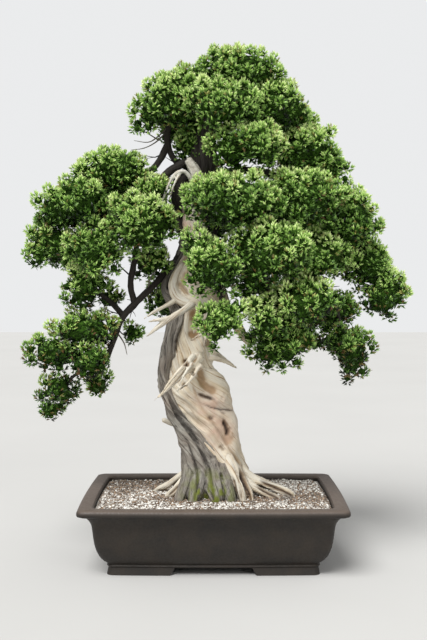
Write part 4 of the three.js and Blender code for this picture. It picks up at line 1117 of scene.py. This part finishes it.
def covered(node, points):  # points that lie within another pad
    hidden = np.zeros(len(points), bool)
    for other in neighbours(node):
        hidden |= outsideOf(other, points) < -foliageLook["hiddenDepth"]
    return hidden


def spread(points, gap):  # picks points that keep the gap between them
    order = draw.permutation(len(points))
    kept = []
    for k in order:
        if not kept or np.min(np.sum((points[kept] - points[k]) ** 2, axis=1)) > gap * gap:
            kept.append(k)
    return np.array(kept)


def frameRound(way):  # two directions square to each way
    helper = np.where(np.abs(way[:, 2:3]) < 0.9, [[0.0, 0.0, 1.0]], [[1.0, 0.0, 0.0]])
    side = unit(np.cross(way, helper))
    return side, np.cross(way, side)


def clumpsOf(node):  # small round clumps that cover the part of the pad that shows
    look = foliageLook
    middle, reach = padShapes[node]
    skin = middle + fineBall * reach[:, None]
    shown = np.nonzero(~covered(node, skin))[0]
    picked = shown[spread(skin[shown], look["clumpGap"])]
    picked = picked[draw.uniform(0, 1, len(picked)) > look["missing"]]
    out = normalsFrom(skin, fineFaces)[picked]
    size = look["clumpSize"] * draw.uniform(*look["clumpRange"], len(picked))
    heart = skin[picked] + out * (draw.uniform(*look["clumpRise"], len(picked)) * size)[:, None]
    lead = unit(out * look["leadOut"] + [0, 0, look["leadUp"]] + draw.normal(0, look["leadLoose"], out.shape))
    return heart, out, size, lead


def tuftsOf(heart, out, size, lead):  # places for the tufts on the clumps, none inside another clump
    look = foliageLook
    gap = np.where(out[:, 2] < look["underside"], look["tuftGapUnder"], look["tuftGap"])
    count = (4 * np.pi * size**2 / (look["tuftCell"] * gap**2)).astype(int)
    count = np.maximum(look["tuftsLeast"], count)
    owner = np.repeat(np.arange(len(heart)), count)
    nth = np.concatenate([np.arange(c) for c in count])
    height = 1 - 2 * (nth + 0.5) / count[owner]
    looseHeight, looseTurn = look["tuftLoose"]
    height = np.clip(height + draw.normal(0, looseHeight, len(height)), -1, 1)
    start = draw.uniform(0, fullTurn, len(heart))[owner]
    turn = nth * look["goldenTurn"] + start + draw.normal(0, looseTurn, len(height))
    flat = np.sqrt(1 - height**2)
    side, other = frameRound(out)
    way = out[owner] * height[:, None] + side[owner] * (flat * np.cos(turn))[:, None]
    way = way + other[owner] * (flat * np.sin(turn))[:, None]
    kept = height > look["tuftLowest"]
    way, owner = way[kept], owner[kept]
    ahead = (way * lead[owner]).sum(axis=1, keepdims=True)
    stretched = look["clumpWaist"] * way + look["clumpPoint"] * ahead * lead[owner]
    spot = heart[owner] + stretched * size[owner][:, None]
    middle = heart.mean(axis=0)
    widest = np.linalg.norm(heart - middle, axis=1).max()
    near = np.linalg.norm(allHearts - middle, axis=1) < widest + look["nearby"]
    hearts, sizes = allHearts[near], allSizes[near]
    clear = np.ones(len(spot), bool)
    for first in range(0, len(spot), 2000):
        some = spot[first:first + 2000]
        apart = np.linalg.norm(some[:, None] - hearts[None], axis=2) - sizes[None] * look["clearShare"]
        clear[first:first + 2000] = (apart < 0).sum(axis=1) == 0
    return spot[clear], way[clear], owner[clear]


def bladesOn(spot, way, tone):  # short leaf blades round each tuft, each a closed sliver with a keel
    look = foliageLook
    count, each = len(spot), look["blades"]
    side, other = frameRound(way)
    turn = (np.arange(each) / each * 2 * np.pi)[None] + draw.uniform(0, fullTurn, (count, 1))
    turn = turn + draw.normal(0, look["bladeTurn"], (count, each))
    lean = draw.uniform(*look["bladeLean"], (count, each))
    lean[:, 0] = look["uprightLean"]
    out = side[:, None] * np.cos(turn)[..., None] + other[:, None] * np.sin(turn)[..., None]
    point = way[:, None] * np.cos(lean)[..., None] + out * np.sin(lean)[..., None]
    point = point.reshape(-1, 3)
    across = unit(np.cross(np.repeat(way, each, axis=0) + 0.01, point))
    over = np.cross(point, across)
    long = look["bladeLength"] * draw.uniform(*look["lengthRange"], count * each)
    wide = look["bladeWidth"] * draw.uniform(*look["widthRange"], count * each)
    root = np.repeat(spot - way * look["bladeRoot"], each, axis=0)
    middle = root + point * (long * look["waistAt"])[:, None] + over * (wide * look["keel"])[:, None]
    half = across * (wide / 2)[:, None]
    points = np.stack([root, middle - half, middle + half, root + point * long[:, None]], axis=1)
    first = np.arange(count * each)[:, None] * 4
    sides = ([0, 1, 2], [3, 2, 1], [0, 3, 1], [0, 2, 3])
    faces = np.concatenate([first + corners for corners in sides], axis=1)
    tones = np.repeat(tone, each) + draw.normal(0, look["bladeUneven"], count * each)
    # painted shade at each blade's root; the paler tip is partly young growth, partly painted highlight
    foot, waist, tip = look["bladeTones"]
    shade = np.stack([tones + foot, tones + waist, tones + waist, tones + tip], axis=1)
    return points.reshape(-1, 3), faces.reshape(-1, 3), shade.ravel()


def makePad(node):
    look = foliageLook
    middle, reach = padShapes[node]
    heart, out, size, lead = clumps[node]
    spot, way, owner = tuftsOf(heart, out, size, lead)
    apart = spot - middle
    proud = (np.linalg.norm(apart, axis=1) - reach[(apart @ coreBall.T).argmax(axis=1)]) / look["clumpSize"]
    way = unit(way + [0, 0, look["tuftUp"]] + draw.normal(0, look["tuftLean"], way.shape))
    above = heart[:, 2] - middle[2]
    # painted light and shade: clumps high in the pad and facing up are painted lighter, low and downward ones
    # darker
    level = np.clip(above / np.abs(above).max() * look["layerGain"], -1, 1)
    clumpTone = look["tone"] + look["layer"] * level + look["patch"] * noise(heart / look["patchSize"], 41)
    clumpTone = clumpTone + draw.normal(0, look["clumpUneven"], len(heart)) + look["upwardLight"] * out[:, 2]
    offX, offY, high = ((heart - potMiddle) * 1000).T
    fadeUp, fadeIn = look["oldGrowthShadeFade"]
    oldGrowthShade = np.clip((look["oldGrowthShadeBelow"] - high) / fadeUp, 0, 1)  # painted shade on clumps low on the outside, which are also older growth with more dry needles
    oldGrowthShade *= np.clip((np.abs(offX) - look["oldGrowthShadeOut"]) / fadeIn, 0, 1)
    # painted shade on the low outer clumps
    clumpTone -= look["oldGrowthShade"] * oldGrowthShade
    tone = clumpTone[owner] + draw.normal(0, look["tuftUneven"], len(owner))
    # painted light and shade: tufts that stand out are lighter, those sunk between clumps darker
    tone = tone + look["proud"] * np.clip(proud - look["proudFrom"], *look["proudRange"])
    bladePoints, bladeFaces, shade = bladesOn(spot, way, tone)
    dryShare = look["dry"] + look["dryPatch"] * noise(spot / look["dryPatchSize"], 44)
    dryShare = dryShare + look["dryLow"] * oldGrowthShade[owner]
    dry = np.repeat(draw.uniform(0, 1, len(spot)) < dryShare, look["blades"] * 4)

    # the core and the clump balls under the blades carry painted shade of the pad's depths
    core = middle + midBall * (reach[:len(midBall)] * look["coreShare"])[:, None]
    rounds = heart[:, None] + lowBall[None] * (size * look["clumpShare"])[:, None, None]
    rounds = rounds.reshape(-1, 3)
    roundFaces = (lowFaces[None] + np.arange(len(heart))[:, None, None] * len(lowBall)).reshape(-1, 3)
    points, faces = joined([(core, midFaces), (rounds, roundFaces), (bladePoints, bladeFaces)])
    mesh = meshFrom(node + "_needles", points, faces)
    inner = len(core) + len(rounds)
    mark(mesh, "shade", np.concatenate([np.zeros(inner), shade]))
    mark(mesh, "dry", np.concatenate([np.zeros(inner), dry]))
    piece = objectFrom(node + "_needles", mesh)
    finishPiece(piece, [innerShadeGreen, needleGreen], [node], smooth=False)
    inside = len(midFaces) + len(roundFaces)
    mesh.polygons.foreach_set("material_index", np.repeat([0, 1], [inside, len(bladeFaces)]).astype(np.int32))
    return len(faces)


def needleMaterial():
    look = foliageLook
    material, tree, shader = newMaterial("juniperNeedles")
    patches = placed(tree, mottle, **look["patches"])
    shade = marked(tree, "shade")
    uneven = maths(tree, "MULTIPLY", maths(tree, "SUBTRACT", patches["Fine"], 0.5), look["patchTone"])
    shade = maths(tree, "ADD", shade, uneven)
    colour = ramp(tree, shade, [(at, look[name]) for at, name in look["toneStops"]])
    dry = maths(tree, "MULTIPLY", marked(tree, "dry"), look["dryShare"])
    colour = blend(tree, dry, colour, look["brown"])
    tree.links.new(colour, shader.inputs["Base Color"])
    shader.inputs["Roughness"].default_value = look["roughness"]
    return material


# painted shade: the dark green of the foliage's shaded depths, with a grainy tint
def innerShadeMaterial():
    look = foliageLook
    material, tree, shader = newMaterial("foliageInsideShade")
    grains = placed(tree, packedGrains, Size=look["insideGrains"])
    colour = blend(tree, grains["Tint"], look["inside"], look["insideLight"])
    tree.links.new(colour, shader.inputs["Base Color"])
    shader.inputs["Roughness"].default_value = look["insideRoughness"]
    shader.inputs["Specular IOR Level"].default_value = look["insideShine"]
    addBump(tree, shader, grains["Height"], *look["insideBump"])
    return material


needleGreen, innerShadeGreen = needleMaterial(), innerShadeMaterial()
clumps = {node: clumpsOf(node) for node in padShapes}
allHearts = np.concatenate([heart for heart, out, size, lead in clumps.values()])
allSizes = np.concatenate([size for heart, out, size, lead in clumps.values()])
print("clumps", len(allHearts))
print("foliage", sum(makePad(node) for node in padShapes))


# Grit, soil and drain screens

gritLook = {
    "stones": 5000, "size": (1.3, 3.0), "spread": (214, 144), "dropFrom": 300, "levelEnough": 0.5,
    "raise": 0.0006, "dents": (0.72, 1.15), "stretch": (0.7, 1.2), "flat": 0.8,
    "patch": 38, "patchShare": 0.5, "dullShare": (0.13, 0.79), "tintRange": 0.62, "dullNarrow": 0.3,
    "dullTint": (0.42, 0.3),
    "bare": [  # where soil and dead leaf lie between the stones: x, y, half width, half depth, strength
        (-150, 110, 70, 50, 1.5), (-185, 20, 40, 80, 1.0), (185, -20, 45, 90, 1.1),
        (-80, -48, 42, 26, 1.6), (108, -44, 62, 22, 1.5), (10, -72, 74, 12, 1.2),
        (-20, 70, 110, 40, 0.7),
    ],
    "tints": [paint(244, 242, 236), paint(230, 227, 219), paint(206, 202, 194), paint(150, 144, 136),
              paint(142, 112, 80), paint(66, 51, 36)],
    "patches": {"Size": 120.0, "Softness": 0.7, "Level": 0.5}, "roughness": [(0.3, 0.7), (0.7, 0.92)],
    "paler": [(0.35, 0.0), (0.75, 0.35)], "bump": (0.4, 0.0005),
    "bedGrains": 330.0, "bedStops": (0.0, 0.25, 0.45, 0.65, 1.0), "bedBetween": [(0.3, 0.9), (0.6, 0.0)],
    "bedRoughness": 0.92, "bedBump": (1.0, 0.002),
    "soilGrains": 240.0, "soilRoughness": 0.96, "soilBump": (1.0, 0.003),
    "worn": {"Size": 90.0, "Softness": 0.5, "Level": 0.5}, "topLightAndDust": {"Amount": 0.6, "Size": 200.0},
    "plasticRoughness": [(0.3, 0.42), (0.7, 0.6)],
    "earth": paint(70, 50, 34), "earthLight": paint(120, 92, 64),
    "plastic": paint(22, 24, 23), "plasticWorn": paint(38, 40, 38),
}


def makeStones():
    look = gritLook
    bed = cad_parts["grit_layer"].data
    tree = BVHTree.FromPolygons([v.co[:] for v in bed.vertices], [p.vertices[:] for p in bed.polygons])
    count = look["stones"]
    alongX, alongY = (draw.uniform(-far, far, count) for far in look["spread"])
    spots = place(np.column_stack([alongX, alongY, np.full(count, look["dropFrom"])]))
    found = []
    for spot in spots:
        hit, facing = tree.ray_cast(Vector(spot), Vector((0, 0, -1)))[:2]
        if hit and facing.z > look["levelEnough"]:
            found.append(hit[:])
    at = np.array(found)
    base, faces = ball(0)
    size = draw.uniform(*look["size"], len(at)) / 1000
    shape = base[None] * draw.uniform(*look["dents"], (len(at), len(base), 1))
    shape = shape * draw.uniform(*look["stretch"], (len(at), 1, 3))
    turn = draw.uniform(0, 2 * np.pi, (len(at), 3))
    cosine, sine = np.cos(turn), np.sin(turn)
    x, y, z = shape[..., 0], shape[..., 1], shape[..., 2]
    x, y = x * cosine[:, :1] - y * sine[:, :1], x * sine[:, :1] + y * cosine[:, :1]
    y, z = y * cosine[:, 1:2] - z * sine[:, 1:2], y * sine[:, 1:2] + z * cosine[:, 1:2]
    shape = np.stack([x, y, z * look["flat"]], axis=2) * size[:, None, None]
    points = (at[:, None] + [0, 0, look["raise"]] + shape).reshape(-1, 3)
    allFaces = (faces[None] + np.arange(len(at))[:, None, None] * len(base)).reshape(-1, 3)
    mesh = meshFrom("grit_stones", points, allFaces)
    away = (at - potMiddle) * 1000
    region = look["patchShare"] * noise(away / look["patch"], 51)
    for x, y, wide, deep, strength in look["bare"]:
        region += strength * np.exp(-((away[:, 0] - x) / wide) ** 2 - ((away[:, 1] - y) / deep) ** 2)
    region = np.clip(region, 0, 1)
    least, more = look["dullShare"]
    dull = draw.uniform(0, 1, len(at)) < least + more * region
    tint = draw.uniform(0, look["tintRange"], len(at)) * (1 - look["dullNarrow"] * dull)
    darker, darkest = look["dullTint"]
    tint = tint + np.where(dull, darker + darkest * region, 0)
    mark(mesh, "tint", np.repeat(np.clip(tint, 0, 1), len(base)))
    return objectFrom("grit_stones", mesh)


def stoneMaterial():
    look = gritLook
    material, tree, shader = newMaterial("graniteGrit")
    patches = placed(tree, mottle, **look["patches"])
    tint = marked(tree, "tint")
    stops = [(k / (len(look["tints"]) - 1), colour) for k, colour in enumerate(look["tints"])]
    colour = ramp(tree, tint, stops)
    colour = blend(tree, ramp(tree, patches["Fine"], look["paler"]), colour, look["tints"][2])
    tree.links.new(colour, shader.inputs["Base Color"])
    tree.links.new(ramp(tree, patches["Fine"], look["roughness"]), shader.inputs["Roughness"])
    addBump(tree, shader, patches["Fine"], *look["bump"])
    return material


def bedMaterial():
    look = gritLook
    material, tree, shader = newMaterial("gritBed")
    grains = placed(tree, packedGrains, Size=look["bedGrains"])
    stops = list(zip(look["bedStops"], [*look["tints"][1:4], look["earthLight"], look["earth"]]))
    between = ramp(tree, grains["Height"], look["bedBetween"])
    colour = blend(tree, between, ramp(tree, grains["Tint"], stops), look["earth"])
    tree.links.new(colour, shader.inputs["Base Color"])
    shader.inputs["Roughness"].default_value = look["bedRoughness"]
    addBump(tree, shader, grains["Height"], *look["bedBump"])
    return material


def soilMaterial():
    look = gritLook
    material, tree, shader = newMaterial("soilMix")
    grains = placed(tree, packedGrains, Size=look["soilGrains"])
    colour = blend(tree, grains["Tint"], look["earth"], look["earthLight"])
    tree.links.new(colour, shader.inputs["Base Color"])
    shader.inputs["Roughness"].default_value = look["soilRoughness"]
    addBump(tree, shader, grains["Height"], *look["soilBump"])
    return material


def screenMaterial():
    look = gritLook
    material, tree, shader = newMaterial("screenPlastic")
    patches = placed(tree, mottle, **look["worn"])
    dustAndLight = placed(tree, dustAndTopLight, **look["topLightAndDust"])
    colour = blend(tree, patches["Patches"], look["plastic"], look["plasticWorn"])
    # dust and painted light on faces that look up
    tree.links.new(blend(tree, dustAndLight["Mask"], colour, look["earthLight"]), shader.inputs["Base Color"])
    tree.links.new(ramp(tree, patches["Fine"], look["plasticRoughness"]), shader.inputs["Roughness"])
    return material


stones = makeStones()
finishPiece(stones, [stoneMaterial()], smooth=False)
gritBed, soilMix, plastic = bedMaterial(), soilMaterial(), screenMaterial()
carried = [("grit_layer", gritBed), ("soil", soilMix)]
carried += [("drain_screen_left", plastic), ("drain_screen_right", plastic)]
for node, material in carried:
    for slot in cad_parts[node].material_slots:
        slot.material = material
print("grit", len(stones.data.polygons))


# Floor, light and camera

studio = {
    "floor": paint(190, 189, 186), "floorFine": paint(193, 192, 189), "floorRoughness": 0.9,
    "patches": {"Size": 1.5, "Softness": 0.5, "Level": 0.5}, "reach": 8, "world": paint(240, 241, 242),
    "seenStrength": 0.95, "lightStrength": 0.62, "aim": (0, 0, 0.5),
    "sunAt": (-0.7, -1.3, 2.6), "sunEnergy": 3.6, "sunSoftness": 34,
    "boxAt": (1.6, -2.4, 1.5), "boxEnergy": 12, "boxSize": 1.4,
}

far = studio["reach"]
corners = [(-far, -far, 0), (far, -far, 0), (far, far, 0), (-far, far, 0)]
floor = objectFrom("floor", meshFrom("floor", corners, [(0, 1, 2, 3)]))
floorMaterial, tree, shader = newMaterial("paleFloor")
patches = placed(tree, mottle, **studio["patches"])
colour = blend(tree, patches["Patches"], studio["floor"], studio["floorFine"])
tree.links.new(colour, shader.inputs["Base Color"])
shader.inputs["Roughness"].default_value = studio["floorRoughness"]
floor.data.materials.append(floorMaterial)

world = bpy.data.worlds.new("paleRoom")
world.use_nodes = True
room = world.node_tree.nodes["Background"]
room.inputs["Color"].default_value = studio["world"]
seen = put(world.node_tree, "ShaderNodeLightPath").outputs["Is Camera Ray"]  # seen paler than its light
extra = maths(world.node_tree, "MULTIPLY", seen, studio["seenStrength"] - studio["lightStrength"])
strength = maths(world.node_tree, "ADD", extra, studio["lightStrength"])
world.node_tree.links.new(strength, room.inputs["Strength"])
bpy.context.scene.world = world


def addLight(name, kind, at, **settings):
    light = bpy.data.lights.new(name, kind)
    for setting, value in settings.items():
        setattr(light, setting, value)
    lamp = bpy.data.objects.new(name, light)
    lamp.location = at
    lamp.rotation_euler = (Vector(studio["aim"]) - Vector(at)).to_track_quat("-Z", "Y").to_euler()
    bpy.context.scene.collection.objects.link(lamp)


softness = math.radians(studio["sunSoftness"])
addLight("skylight", "SUN", studio["sunAt"], energy=studio["sunEnergy"], angle=softness)
addLight("softbox_front", "AREA", studio["boxAt"], energy=studio["boxEnergy"], size=studio["boxSize"])

camera = bpy.data.objects.new("camera", bpy.data.cameras.new("camera"))
camera.data.sensor_width = cameraLook["sensor"]
camera.data.lens = cameraLook["lens"]
camera.location = (potMiddle[0], potMiddle[1] - cameraLook["back"], cameraLook["height"])
camera.rotation_euler = (math.radians(90 - cameraLook["pitch"]), 0, 0)
bpy.context.scene.collection.objects.link(camera)
bpy.context.scene.camera = camera
bpy.context.scene.view_settings.view_transform = "Standard"
